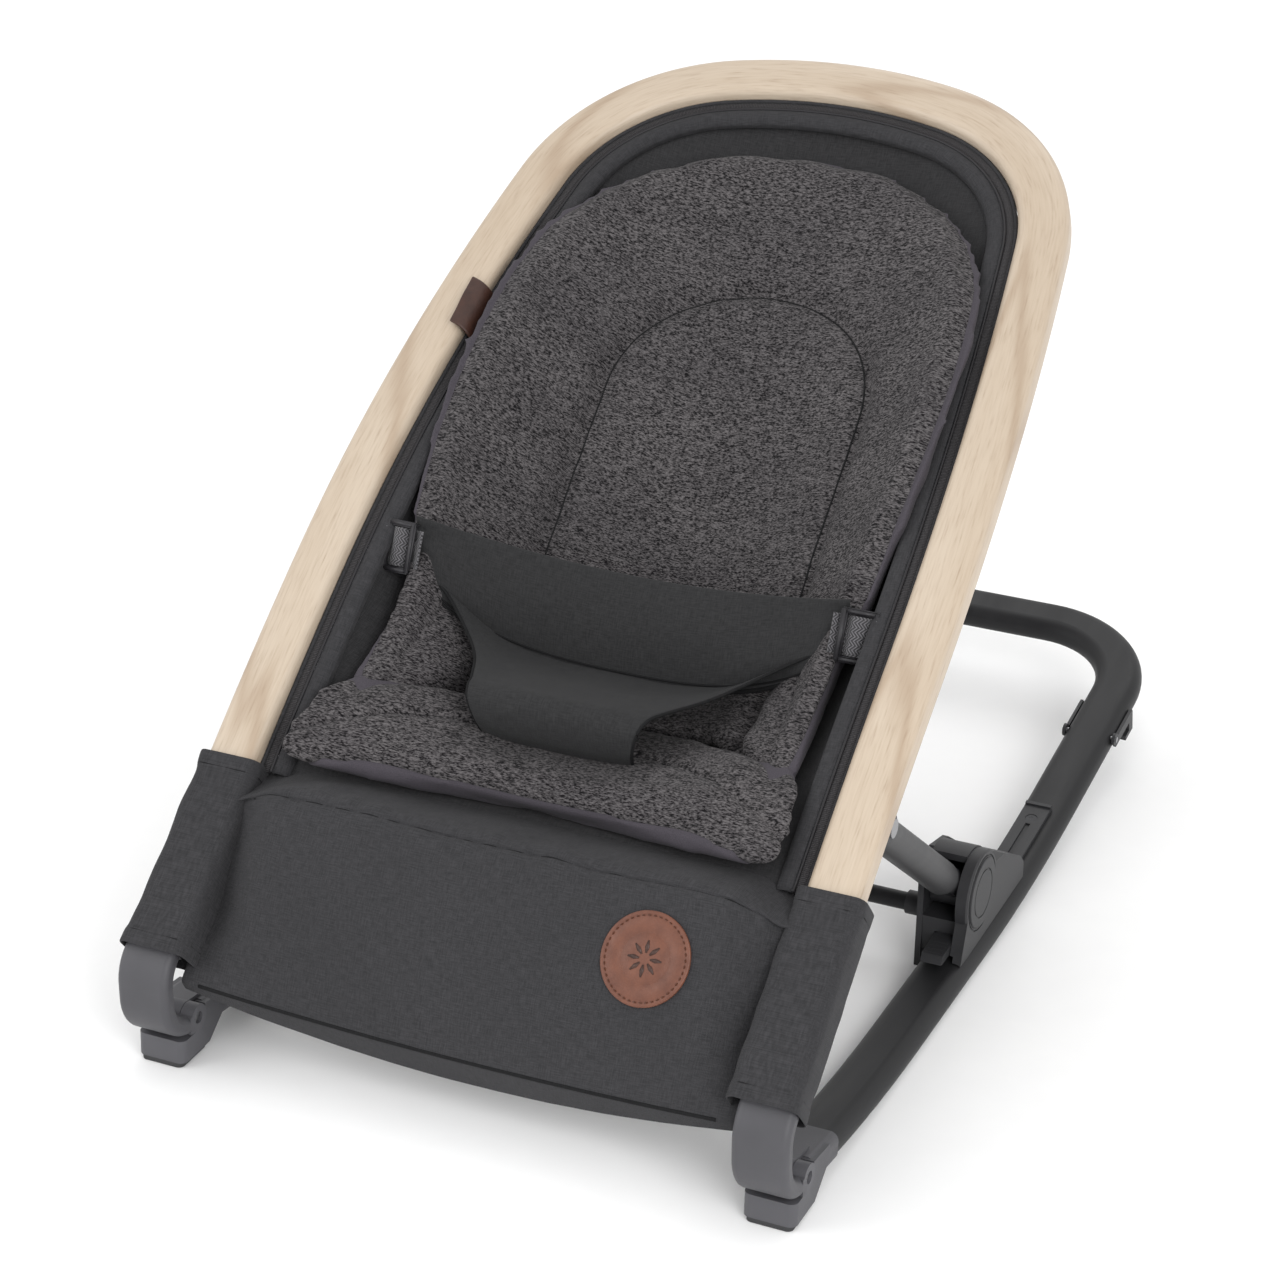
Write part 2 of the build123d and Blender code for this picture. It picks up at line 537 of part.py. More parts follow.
def stop_foot():
    """Stirrup folded along the rail: two side arms and a foot bar under the tube."""
    centre, slope = stop_frame()
    place = Pos(*centre) * Rot(0, 0, slope)
    arm = place * (Pos(0, 3) * Circle(4.5) + Pos(19, 0) * Rectangle(38, 7) + Pos(35, -5) * Rectangle(8, 14))
    bar = place * (Pos(31, -12.2) * Rectangle(16, 3.4))
    arms = across(arm, RAIL_X - 19.6, RAIL_X - 17.4) + across(arm, RAIL_X + 17.4, RAIL_X + 19.6)
    ends = across(place * (Pos(35, -11.5) * Rectangle(8, 4.8)), RAIL_X - 19.6, RAIL_X - 17.4) \
        + across(place * (Pos(35, -11.5) * Rectangle(8, 4.8)), RAIL_X + 17.4, RAIL_X + 19.6)
    return arms + ends + across(bar, RAIL_X - 19.6, RAIL_X + 19.6) - rod(stop_pivot(), 2.05, 100, 300)


def stop_pin():
    return rod(stop_pivot(), 2.0, RAIL_X - 20.4, RAIL_X + 20.4)


# --- fabric and padding -------------------------------------------------------------------------------
def hammock(stations, near, far):
    """Soft body that hangs in the arch: a loft of curved sections.

    Each station is (s, half width of the hammock, depth, half width of this layer), and near and far are
    the layer's distances inside the hammock's outer surface.
    """
    sections = []
    for s, half, depth, layer_half in stations:
        (y, z), slope = frame_at(s)
        a = radians(slope)
        plane = Plane(origin=(0, y, z), x_dir=(-1, 0, 0), z_dir=(0, cos(a), sin(a)))
        radius = (half ** 2 + depth ** 2) / (2 * depth)
        centre_up = radius - depth
        outer_r, inner_r = radius - near, radius - far
        spread = atan2(layer_half, sqrt(outer_r ** 2 - layer_half ** 2))
        corner = [(r * sin(spread), centre_up - r * cos(spread)) for r in (outer_r, inner_r)]
        mirrored = [(-x, y) for x, y in corner]
        outline = [ThreePointArc(mirrored[0], (0, centre_up - outer_r), corner[0]),
                   Line(corner[0], corner[1]),
                   ThreePointArc(corner[1], (0, centre_up - inner_r), mirrored[1]),
                   Line(mirrored[1], mirrored[0])]
        sections.append(plane * make_face(outline))
    return loft(sections)


def hammock_stations():
    """Where the sling hangs: distance up the arch, half width and depth."""
    return [(24, 172, 20), (70, 174, 60), (125, 176, 98), (185, 176, 106), (260, 174, 94),
            (350, 170, 76), (440, 160, 52), (500, 149, 34), (545, 120, 20), (566, 88, 12), (576, 52, 6)]


SLING_THICK = 3.0


def sling():
    return hammock([(s, half, depth, half - 1) for s, half, depth in hammock_stations()], 0, SLING_THICK)


CUSHION_LOW, CUSHION_THICK = 2.2, 19.5      # clearance above the sling, and loft


def seat_cushion():
    """Seat pad: it lies a little clear of the sling, which is steeper under the knees."""
    stations = [(24, 172, 20, 158), (70, 174, 60, 150), (112, 175.5, 90, 142)]
    low = SLING_THICK + CUSHION_LOW + 3
    return hammock(stations, low, low + 17)


def back_cushion():
    """Back pad, from the hips to the head."""
    widths = [136, 134, 145, 154, 146, 122, 72]
    layers = [(s, half, depth, width) for (s, half, depth), width in zip(hammock_stations()[2:9], widths)]
    return hammock(layers, SLING_THICK + CUSHION_LOW, SLING_THICK + CUSHION_LOW + CUSHION_THICK)


def sling_rim():
    """Edge profile of the sling along the inside of the wood: the zip tape and its piping."""
    return arch_bar(-7, -(WOOD_WIDE / 2 + 0.3), WOOD_WIDE / 2 + 9, 6, 3)


APRON_HALF = 177.8
APRON_FOOT = (-12.0, 60.0)
APRON_SLOPE = 57.0


def apron():
    """Front panel between the sleeves, from the seat's front edge down to its hem."""
    panel = band(APRON_FOOT, APRON_SLOPE, [(126, 0), (14, -70), (42, 0)], 3, 0)
    hem = band(APRON_FOOT, -40, [(16, 0)], 0, 3)
    return across(panel + hem, -APRON_HALF, APRON_HALF)


def sleeve():
    a = radians(LEG_SLOPE)
    length = sqrt((HEM[0] + 2 - arm_end()[0]) ** 2 + (HEM[1] + 2 - arm_end()[1]) ** 2)
    outer = Pos(-0.6, 2.2) * RectangleRounded(43.5, 30, 8)
    inner = Pos(0, 2.2) * RectangleRounded(35.2, 24.4, 4.5)
    shell = extrude(leg_plane(1) * (outer - inner), amount=length)
    return shell


BAND_TOP = (247.0, 282.0)
BAND_DROP = 25.5            # degrees that the belly band leans from upright
BAND_HALF, BAND_SAG, BAND_WIDE = 151.0, 24.0, 54.0


def belly_band():
    lean = radians(BAND_DROP)
    plane = Plane(origin=(0, *BAND_TOP), x_dir=(1, 0, 0), z_dir=(0, -sin(lean), -cos(lean)))
    radius = (BAND_HALF ** 2 + BAND_SAG ** 2) / (2 * BAND_SAG)
    spread = atan2(BAND_HALF, radius - BAND_SAG)
    points = [(r * sin(spread), radius - BAND_SAG - r * cos(spread)) for r in (radius, radius - 2.5)]
    outline = [ThreePointArc((-points[0][0], points[0][1]), (0, -BAND_SAG), points[0]),
               Line(points[0], points[1]),
               ThreePointArc(points[1], (0, 2.5 - BAND_SAG), (-points[1][0], points[1][1])),
               Line((-points[1][0], points[1][1]), (-points[0][0], points[0][1]))]
    return extrude(plane * make_face(outline), amount=BAND_WIDE)


STRAP_HALF = 54.0
STRAP_RUNS = [(58, 0), (60, 12), (14, 0), (9, 100), (22, 0)]    # from the belly band forwards and down


def crotch_strap():
    """Wide strap from the belly band's lower edge forwards, folded down to the seat."""
    return across(band((236.5, 205.5), 159, STRAP_RUNS, 2.4, 0), -STRAP_HALF, STRAP_HALF)


def webbing():
    """Short strap from the buckle into the sling's side."""
    outline = polygon((224, 260), (236, 284), (245, 280), (233, 256))
    return across(outline, 164.6, 166.4)


def buckle():
    """Ladder buckle at the end of the belly band: a frame with a centre bar."""
    plane = Plane(origin=(158, 235, 271), x_dir=(1, 0, 0), z_dir=(0, sin(radians(64)), -cos(radians(64))))
    frame = RectangleRounded(11, 38, 2) - Pos(3, 0) * Rectangle(2.6, 31) - Pos(-3, 0) * Rectangle(2.6, 31)
    return extrude(plane * frame, amount=2, both=True)


PATCH_X, PATCH_UP, PATCH_R = 110.0, 82.0, 28.5


def patch():
    """Round patch sewn to the front panel."""
    a = radians(APRON_SLOPE)
    centre = (APRON_FOOT[0] + PATCH_UP * cos(a), APRON_FOOT[1] + PATCH_UP * sin(a))
    plane = Plane(origin=(PATCH_X, *centre), x_dir=(1, 0, 0), z_dir=(0, -sin(a), cos(a)))
    return extrude(plane.offset(TOUCH) * Circle(PATCH_R), amount=1.6)


def tag():
    """Folded leather tag on the inner side of the left arm."""
    (y, z), slope = frame_at(372)
    face = Pos(y, z) * Rot(0, 0, slope) * (Pos(0, 8) * Rectangle(34, 14))
    return across(face, -165.8, -164.0)


def build():
    save("base_tube", base_tube())
    both("base_end", end_fitting())
    both("foot_pad", foot_pad())
    pair("hinge_pins", hinge_pin())
    both("track", track())
    pair("track_screws", track_screw())
    both("stop_foot", stop_foot())
    pair("stop_foot_pins", stop_pin())
    save("wood_arch", wood_arch())
    both("leg", leg())
    both("curved_arm", curved_arm())
    pair("arch_bolts", arch_bolt())
    both("pivot_bracket", pivot_bracket())
    pair("pivot_pins", pivot_pin())
    both("strut_tube", strut_tube())
    pair("strut_upper_ends", strut_end(True))
    pair("strut_lower_ends", strut_end(False))
    both("hub_body", hub_body())
    both("hub_cover", hub_cover())
    both("hub_cap", hub_cap())
    pair("hub_axles", hub_axle())
    pair("hub_screws", hub_screw())
    save("cross_tube", cross_tube())
    pair("cross_tube_collars", collar())
    both("release_lever", release_lever())
    both("lever_spring", lever_spring())
    save("sling", sling())
    save("sling_rim", sling_rim())
    save("seat_cushion", seat_cushion())
    save("back_cushion", back_cushion())
    save("apron", apron())
    both("sleeve", sleeve())
    save("belly_band", belly_band())
    save("crotch_strap", crotch_strap())
    both("webbing", webbing())
    both("buckle", buckle())
    save("leather_patch", patch())
    save("leather_tag", tag())


build()
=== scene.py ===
import json
from math import asin, atan2, cos, exp, hypot, pi, radians, sin, sqrt

import bmesh
import bpy
import numpy as np
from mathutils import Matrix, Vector, noise
from mathutils.bvhtree import BVHTree

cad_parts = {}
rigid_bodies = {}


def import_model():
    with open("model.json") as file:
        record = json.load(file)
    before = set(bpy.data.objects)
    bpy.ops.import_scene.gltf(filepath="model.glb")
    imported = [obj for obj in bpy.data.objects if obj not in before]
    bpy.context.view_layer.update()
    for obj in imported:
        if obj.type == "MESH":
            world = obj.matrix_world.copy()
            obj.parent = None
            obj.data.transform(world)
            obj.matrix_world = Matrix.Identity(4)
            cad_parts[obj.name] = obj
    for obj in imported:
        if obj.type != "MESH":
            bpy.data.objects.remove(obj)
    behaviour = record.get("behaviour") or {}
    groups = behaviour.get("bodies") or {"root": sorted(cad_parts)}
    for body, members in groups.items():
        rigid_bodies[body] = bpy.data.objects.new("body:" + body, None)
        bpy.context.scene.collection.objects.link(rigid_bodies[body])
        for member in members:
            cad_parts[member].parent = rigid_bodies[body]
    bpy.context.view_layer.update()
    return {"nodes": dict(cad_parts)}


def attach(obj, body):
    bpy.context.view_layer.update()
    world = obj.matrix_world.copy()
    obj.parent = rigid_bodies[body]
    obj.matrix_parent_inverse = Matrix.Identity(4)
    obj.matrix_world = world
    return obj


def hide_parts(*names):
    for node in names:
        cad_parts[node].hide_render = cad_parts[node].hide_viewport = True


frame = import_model()

# The seat is described in metres, with y from the front feet and z from the floor.
MIDDLE_Y = 0.3544                  # the frame's origin is the middle of the footprint
HEM = (0.0948, 0.1645)             # where the wood comes out of the fabric sleeves
LEG_SLOPE = radians(39.5)
SIDE_BENDS = ((2.280, radians(7.55)), (3.529, radians(5.0)))
ARCH_X = 0.2044
ARCH_RUNS = ((0.150, 0), (2.405, 8), (0.135, 68), (0.330, 28), (0.135, 68), (2.405, 8), (0.150, 0))
WOOD_HALF, WOOD_RISE, WOOD_ROUND = 0.017, 0.011, 0.006
WOOD_BELOW_HEM = 0.025
# The liner hangs in the arch: distance up the frame from the hem, half width and depth.
LINER = ((0, 0.171, 0.012), (0.024, 0.172, 0.020), (0.070, 0.174, 0.060), (0.125, 0.176, 0.098),
         (0.185, 0.176, 0.106), (0.260, 0.174, 0.094), (0.350, 0.170, 0.076), (0.440, 0.160, 0.052),
         (0.500, 0.149, 0.034), (0.545, 0.120, 0.020), (0.566, 0.088, 0.012), (0.576, 0.052, 0.006))
RIM_INNER = 0.0290                 # edge of the sling under the sewn border, in from the arch's centre line


# --- shape helpers ------------------------------------------------------------------------------------
def at(x, y, z):
    """A point given from the front feet, in the frame."""
    return Vector((x, y - MIDDLE_Y, z))


def frame_at(s):
    """Side-view point and slope of the arch's centre line, s up it from the sleeves' hem."""
    y, z, slope = HEM[0], HEM[1], LEG_SLOPE
    if s > 0:
        for radius, turn in SIDE_BENDS:
            part = min(s, radius * turn)
            lower = slope - part / radius
            y += radius * (sin(slope) - sin(lower))
            z += radius * (cos(lower) - cos(slope))
            slope, s = lower, s - part
    return y + s * cos(slope), z + s * sin(slope), slope


def over(x, s, rise):
    """Point at a distance up the frame and a height square to it."""
    y, z, slope = frame_at(s)
    return at(x, y - rise * sin(slope), z + rise * cos(slope))


def smooth_step(t):
    t = min(max(t, 0.0), 1.0)
    return t * t * (3 - 2 * t)


def through(points, t):
    """Smooth curve through points, each (t, value, ...), at t."""
    if t <= points[0][0]:
        return points[0][1:]
    for i in range(len(points) - 1):
        if t <= points[i + 1][0]:
            break
    else:
        return points[-1][1:]
    before, a, b, after = points[max(i - 1, 0)], points[i], points[i + 1], points[min(i + 2,
                                                                                      len(points) - 1)]
    span = b[0] - a[0]
    k = (t - a[0]) / span
    values = []
    for c in range(1, len(a)):
        at_a = (b[c] - before[c]) / (b[0] - before[0]) * span
        at_b = (after[c] - a[c]) / (after[0] - a[0]) * span
        values.append(a[c] * (1 + 2 * k) * (1 - k) ** 2 + b[c] * k * k * (3 - 2 * k)
                      + at_a * k * (1 - k) ** 2 - at_b * k * k * (1 - k))
    return values


def liner_arc(s):
    """Half width, radius and height of the arc's centre, of the liner's section at s."""
    half, depth = through(LINER, s)
    radius = (half ** 2 + depth ** 2) / (2 * depth)
    return half, radius, radius - depth


def on_liner(x, s, lift):
    """Point on the hanging liner, lifted off its outer surface."""
    _, radius, centre = liner_arc(s)
    inner = radius - lift
    return over(x, s, centre - sqrt(max(inner ** 2 - x ** 2, 1e-6)))


def arch_path(step=0.006):
    """Stations round the arch from right to left: (x, distance up the frame, heading, length so far)."""
    x, up, heading, length = ARCH_X, 0.0, pi / 2, 0.0
    stations = [(x, up, heading, length)]
    for size, turn in ARCH_RUNS:
        run = size * radians(turn) if turn else size
        pieces = max(2, round(run / step))
        for i in range(pieces):
            turned = radians(turn) / pieces
            middle = heading + turned / 2
            x += run / pieces * cos(middle)
            up += run / pieces * sin(middle)
            heading += turned
            length += run / pieces
            stations.append((x, up, heading, length))
    return stations


ARCH = arch_path()
ARCH_LONG = ARCH[-1][3]


def beside_arch(station, inward, rise):
    """Point beside the arch's centre line: inward in the sheet of the frame, and rise square to it."""
    x, up, heading, _ = station
    return over(x - inward * sin(heading), up + inward * cos(heading), rise)


def link(name, mesh, material, body="seat"):
    obj = bpy.data.objects.new(name, mesh)
    bpy.context.scene.collection.objects.link(obj)
    if material:
        mesh.materials.append(material)
    mesh.shade_smooth()
    if body:
        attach(obj, body)
    return obj


def grid(rows, columns, point, ring=False, caps=False):
    """Vertices and faces of a grid of point(row share, column share)."""
    points = []
    for i in range(rows):
        for j in range(columns):
            points.append(point(i / (rows - 1), j / (columns if ring else columns - 1)))
    faces = []
    for i in range(rows - 1):
        for j in range(columns if ring else columns - 1):
            k = (j + 1) % columns
            faces.append((i * columns + j, i * columns + k, (i + 1) * columns + k, (i + 1) * columns + j))
    if caps:
        faces.append(tuple(range(columns))[::-1])
        faces.append(tuple((rows - 1) * columns + j for j in range(columns)))
    return points, faces


def mesh_of(name, points, faces):
    mesh = bpy.data.meshes.new(name)
    mesh.from_pydata([tuple(p) for p in points], [], faces)
    mesh.validate()
    made = bmesh.new()
    made.from_mesh(mesh)
    bmesh.ops.recalc_face_normals(made, faces=made.faces)
    made.to_mesh(mesh)
    made.free()
    return mesh


def lay(mesh, places, name="lay"):
    """Store where each vertex is in the cloth or along the grain, for the materials."""
    layer = mesh.attributes.new(name, "FLOAT_VECTOR", "POINT")
    layer.data.foreach_set("vector", np.array(places, np.float32).ravel())
    return mesh


def grid_lay(mesh, rows, columns):
    """Cloth coordinates of a grid: lengths measured across each row and along the middle column."""
    p = np.array([v.co for v in mesh.vertices]).reshape(rows, columns, 3)
    across = np.concatenate([np.zeros((rows, 1)), np.linalg.norm(np.diff(p, axis=1), axis=2).cumsum(1)], 1)
    across -= across[:, columns // 2][:, None]
    middle = p[:, columns // 2]
    along = np.concatenate([[0], np.linalg.norm(np.diff(middle, axis=0), axis=1).cumsum()])
    places = np.stack([across, np.repeat(along[:, None], columns, 1), np.zeros((rows, columns))], 2)
    return lay(mesh, places.reshape(-1, 3))


def cloth_sheet(name, rows, columns, point, material, thick=0.0012, offset=0.0, levels=1):
    """A sewn sheet from a grid, with its thickness."""
    mesh = mesh_of(name, *grid(rows, columns, point))
    grid_lay(mesh, rows, columns)
    obj = link(name, mesh, material)
    thicken = obj.modifiers.new("thickness", "SOLIDIFY")
    thicken.thickness, thicken.offset = thick, offset
    if levels:
        smooth = obj.modifiers.new("smooth", "SUBSURF")
        smooth.levels = smooth.render_levels = levels
    return obj


def tube(name, path, radius, material, sides=8, closed=False, body="seat", wobble=None):
    """Round bead along a list of points."""
    points, count = [], len(path)
    for i, p in enumerate(path):
        ahead = path[(i + 1) % count] if closed else path[min(i + 1, count - 1)]
        behind = path[i - 1] if closed or i else path[0]
        along = (ahead - behind).normalized()
        side = along.cross(Vector((0, 0, 1)) if abs(along.z) < 0.9 else Vector((0, 1, 0))).normalized()
        up = side.cross(along)
        r = radius * (wobble(i) if wobble else 1)
        for j in range(sides):
            a = 2 * pi * j / sides
            points.append(p + side * (r * cos(a)) + up * (r * sin(a)))
    faces = []
    for i in range(count if closed else count - 1):
        for j in range(sides):
            k, n = (j + 1) % sides, (i + 1) % count
            faces.append((i * sides + j, i * sides + k, n * sides + k, n * sides + j))
    if not closed:
        faces.append(tuple(range(sides))[::-1])
        faces.append(tuple((count - 1) * sides + j for j in range(sides)))
    mesh = mesh_of(name, points, faces)
    lay(mesh, [(0.002 * (n % sides), 0.002 * (n // sides), 0) for n in range(len(points))])
    return link(name, mesh, material, body)


# --- materials ----------------------------------------------------------------------------------------
WAVE_PERIOD = 0.314                # period of a band texture whose scale is one
CLOTH_GLOSS = 0.12                 # specular level of the fabrics, low so that their weave shows


class Surface:
    """A material with short calls for its nodes."""

    def __init__(self, name, color, roughness, **constants):
        self.material = bpy.data.materials.new(name)
        self.material.use_nodes = True
        self.nodes = self.material.node_tree.nodes
        self.links = self.material.node_tree.links
        self.shader = self.nodes["Principled BSDF"]
        self.shader.inputs["Base Color"].default_value = (*color, 1)
        self.shader.inputs["Roughness"].default_value = roughness
        for key, value in constants.items():
            self.shader.inputs[key.replace("_", " ")].default_value = value

    def add(self, kind, **inputs):
        node = self.nodes.new(kind)
        for key, value in inputs.items():
            key = key.replace("_", " ")
            if hasattr(value, "links"):
                self.links.new(value, node.inputs[key])
            else:
                node.inputs[key].default_value = value
        return node

    def place(self, name="lay"):
        """Cloth or grain coordinates of the piece."""
        node = self.nodes.new("ShaderNodeAttribute")
        node.attribute_name = name
        return node.outputs["Vector"]

    def scaled(self, vector, x, y, z, turn=0.0):
        node = self.add("ShaderNodeMapping", Vector=vector)
        node.inputs["Scale"].default_value = (x, y, z)
        node.inputs["Rotation"].default_value = (0, 0, turn)
        return node.outputs["Vector"]

    def objects(self):
        return self.nodes.new("ShaderNodeTexCoord").outputs["Object"]

    def noise(self, vector, scale, detail=2.0, roughness=0.5):
        return self.add("ShaderNodeTexNoise", Vector=vector, Scale=scale, Detail=detail,
                        Roughness=roughness).outputs["Fac"]

    def wave(self, vector, scale, distortion=0.0, detail=0.0, detail_scale=1.0):
        return self.add("ShaderNodeTexWave", Vector=vector, Scale=scale, Distortion=distortion,
                        Detail=detail,
                        Detail_Scale=detail_scale).outputs["Fac"]

    def math(self, operation, a, b=0.0):
        node = self.nodes.new("ShaderNodeMath")
        node.operation = operation
        for socket, value in zip(node.inputs, (a, b)):
            if hasattr(value, "links"):
                self.links.new(value, socket)
            else:
                socket.default_value = value
        return node.outputs[0]

    def spread(self, value, low, high, out_low=0.0, out_high=1.0):
        node = self.add("ShaderNodeMapRange", Value=value)
        for key, number in (("From Min", low), ("From Max", high), ("To Min", out_low), ("To Max",
                                                                                         out_high)):
            node.inputs[key].default_value = number
        return node.outputs["Result"]

    def mix(self, factor, a, b):
        """Blend of two colours, each a colour or a socket."""
        node = self.nodes.new("ShaderNodeMix")
        node.data_type = "RGBA"
        self.links.new(factor, node.inputs[0])
        for socket, value in ((node.inputs[6], a), (node.inputs[7], b)):
            if hasattr(value, "links"):
                self.links.new(value, socket)
            else:
                socket.default_value = (*value, 1)
        return node.outputs[2]

    def color(self, socket):
        self.links.new(socket, self.shader.inputs["Base Color"])

    def rough(self, socket):
        self.links.new(socket, self.shader.inputs["Roughness"])

    def bump(self, *layers):
        """Bump from (height, strength, distance) layers, one over the other."""
        normal = None
        for height, strength, distance in layers:
            node = self.add("ShaderNodeBump", Height=height, Strength=strength, Distance=distance)
            if normal:
                self.links.new(normal, node.inputs["Normal"])
            normal = node.outputs["Normal"]
        self.links.new(normal, self.shader.inputs["Normal"])


def maple():
    """Pale clear-lacquered maple: long fibres, soft cathedral rings and fine brown flecks."""
    m = Surface("maple", (0.74, 0.58, 0.42), 0.42, Coat_Weight=0.12, Coat_Roughness=0.3)
    place = m.place("grain")
    broad = m.noise(m.scaled(place, 3.2, 38, 38), 1.0, 3, 0.5)
    rings = m.wave(m.scaled(place, 0.8, 27, 27), 1.5, 5.5, 2.5, 0.55)
    rings = m.math("POWER", rings, 14.0)
    fibre = m.noise(m.scaled(place, 22, 900, 900), 1.0, 3, 0.6)
    fleck = m.math("POWER", m.noise(m.scaled(place, 60, 700, 700), 1.0, 2, 0.5), 5.0)
    base = m.mix(m.spread(broad, 0.3, 0.7), (0.54, 0.455, 0.360), (0.475, 0.385, 0.290))
    ringed = m.mix(m.math("MULTIPLY", rings, 0.50), base, (0.30, 0.205, 0.130))
    fibred = m.mix(m.spread(fibre, 0.40, 0.75, 0, 0.30), ringed, (0.40, 0.31, 0.225))
    m.color(m.mix(m.math("MULTIPLY", fleck, 1.8), fibred, (0.26, 0.175, 0.11)))
    m.rough(m.spread(fibre, 0.2, 0.8, 0.36, 0.50))
    m.bump((fibre, 0.10, 0.0004), (rings, 0.05, 0.0004))
    return m.material


def woven(name, dark, light, thread=0.00055, sheen=0.15, crease=0.25):
    """Fine plain weave, with threads of uneven tone and faint slubs."""
    m = Surface(name, dark, 0.86, Sheen_Weight=sheen, Sheen_Roughness=0.5, Specular_IOR_Level=CLOTH_GLOSS)
    place = m.place()
    count = WAVE_PERIOD / (2 * thread)
    warp = m.wave(m.scaled(place, count, 0, 0), 1.0)
    weft = m.wave(m.scaled(place, 0, count, 0, pi / 2), 1.0)
    warp_tone = m.noise(m.scaled(place, 1300, 130, 1), 1.0, 2, 0.6)
    weft_tone = m.noise(m.scaled(place, 130, 1300, 1), 1.0, 2, 0.6)
    weave = m.math("MULTIPLY", warp, weft)
    tone = m.math("ADD", warp_tone, weft_tone)
    # large soft random patches, which pull the cloth up to a quarter of the way to a darker grey
    tone_shift = m.noise(m.scaled(place, 9, 9, 9), 1.0, 4, 0.55)
    cloth = m.mix(m.spread(tone, 0.75, 1.25), dark, light)
    m.color(m.mix(m.spread(tone_shift, 0.35, 0.75, 0.0, 0.25), cloth, tuple(0.75 * c for c in dark)))
    m.rough(m.spread(tone, 0.7, 1.3, 0.80, 0.92))
    creases = m.noise(m.scaled(place, 26, 15, 1), 1.0, 3, 0.5)
    m.bump((creases, crease, 0.004), (weave, 0.5, 0.0004), (tone, 0.25, 0.0003))
    return m.material


def knit_nodes(m, place):
    """Colour and height of the heathered knit: short light and dark dashes in rows."""
    rows = m.wave(m.scaled(place, 0, WAVE_PERIOD / 0.0016, 0, pi / 2), 1.0)
    dash = m.noise(m.scaled(place, 430, 1150, 430), 1.0, 2.5, 0.65)
    mottle = m.noise(m.scaled(place, 210, 620, 210), 1.0, 3, 0.6)
    drift = m.noise(m.scaled(place, 10, 26, 10), 1.0, 2, 0.5)
    tone = m.math("ADD", m.math("MULTIPLY", dash, 0.62), m.math("MULTIPLY", mottle, 0.38))
    pale = m.mix(m.spread(drift, 0.3, 0.7), (0.134, 0.125, 0.127), (0.104, 0.097, 0.100))
    color = m.mix(m.spread(tone, 0.42, 0.60), (0.0055, 0.005, 0.0058), pale)
    height = m.math("ADD", m.math("MULTIPLY", tone, 0.8), m.math("MULTIPLY", rows, 0.2))
    return color, height


def cushion_cloth():
    """Heathered knit on the faces, and the smooth purple-grey band round the edge below its seam."""
    m = Surface("cushion_knit", (0.08, 0.08, 0.085), 0.95, Sheen_Weight=0.04, Specular_IOR_Level=CLOTH_GLOSS)
    place = m.place()
    color, height = knit_nodes(m, place)
    node = m.nodes.new("ShaderNodeAttribute")
    node.attribute_name = "face"
    face = m.spread(node.outputs["Fac"], 0.48, 0.52)
    fine = m.noise(m.scaled(place, 1500, 1500, 1500), 1.0, 2, 0.5)
    edge = m.mix(m.spread(fine, 0.3, 0.7), (0.050, 0.045, 0.053), (0.070, 0.063, 0.074))
    m.color(m.mix(face, edge, color))
    m.bump((m.math("MULTIPLY", height, face), 0.7, 0.0011), (fine, 0.1, 0.0004))
    return m.material


def ribbed(name, dark, light, pitch=0.0011):
    """Ribbed tape, such as the zip's, with the ribs across its run."""
    m = Surface(name, dark, 0.8, Sheen_Weight=0.05, Specular_IOR_Level=0.15)
    place = m.place()
    ribs = m.wave(m.scaled(place, 0, WAVE_PERIOD / pitch, 0, pi / 2), 1.0)
    fine = m.noise(m.scaled(place, 900, 900, 1), 1.0, 2, 0.5)
    m.color(m.mix(m.math("MULTIPLY", ribs, m.spread(fine, 0.2, 0.7)), dark, light))
    m.bump((ribs, 0.6, 0.0006), (fine, 0.3, 0.0003))
    return m.material


def chevron():
    """Woven webbing with a chevron of lighter threads."""
    m = Surface("webbing_chevron", (0.1, 0.1, 0.105), 0.75, Sheen_Weight=0.2, Sheen_Roughness=0.5)
    place = m.place()
    split = m.nodes.new("ShaderNodeSeparateXYZ")
    m.links.new(place, split.inputs[0])
    across = m.math("PINGPONG", split.outputs[0], 0.0028)
    slant = m.math("ADD", m.math("MULTIPLY", across, 1.0), split.outputs[1])
    twill = m.math("SINE", m.math("MULTIPLY", slant, 2 * pi / 0.0022))
    fine = m.noise(m.scaled(place, 1200, 1200, 1), 1.0, 2, 0.5)
    m.color(m.mix(m.spread(m.math("MULTIPLY", twill, m.spread(fine, 0.2, 0.8, 0.5, 1)), -0.3, 0.6),
                  (0.018, 0.018, 0.020), (0.125, 0.120, 0.130)))
    m.bump((twill, 0.5, 0.0005), (fine, 0.4, 0.0003))
    return m.material


def leather(name, color, dark):
    m = Surface(name, color, 0.5, Coat_Weight=0.05, Coat_Roughness=0.4)
    place = m.objects()
    pores = m.add("ShaderNodeTexVoronoi", Vector=place, Scale=900.0).outputs["Distance"]
    cloud = m.noise(place, 120.0, 4, 0.6)
    m.color(m.mix(m.spread(cloud, 0.3, 0.75), color, dark))
    m.rough(m.spread(cloud, 0.2, 0.8, 0.42, 0.62))
    m.bump((pores, 0.25, 0.0004), (cloud, 0.15, 0.0008))
    return m.material


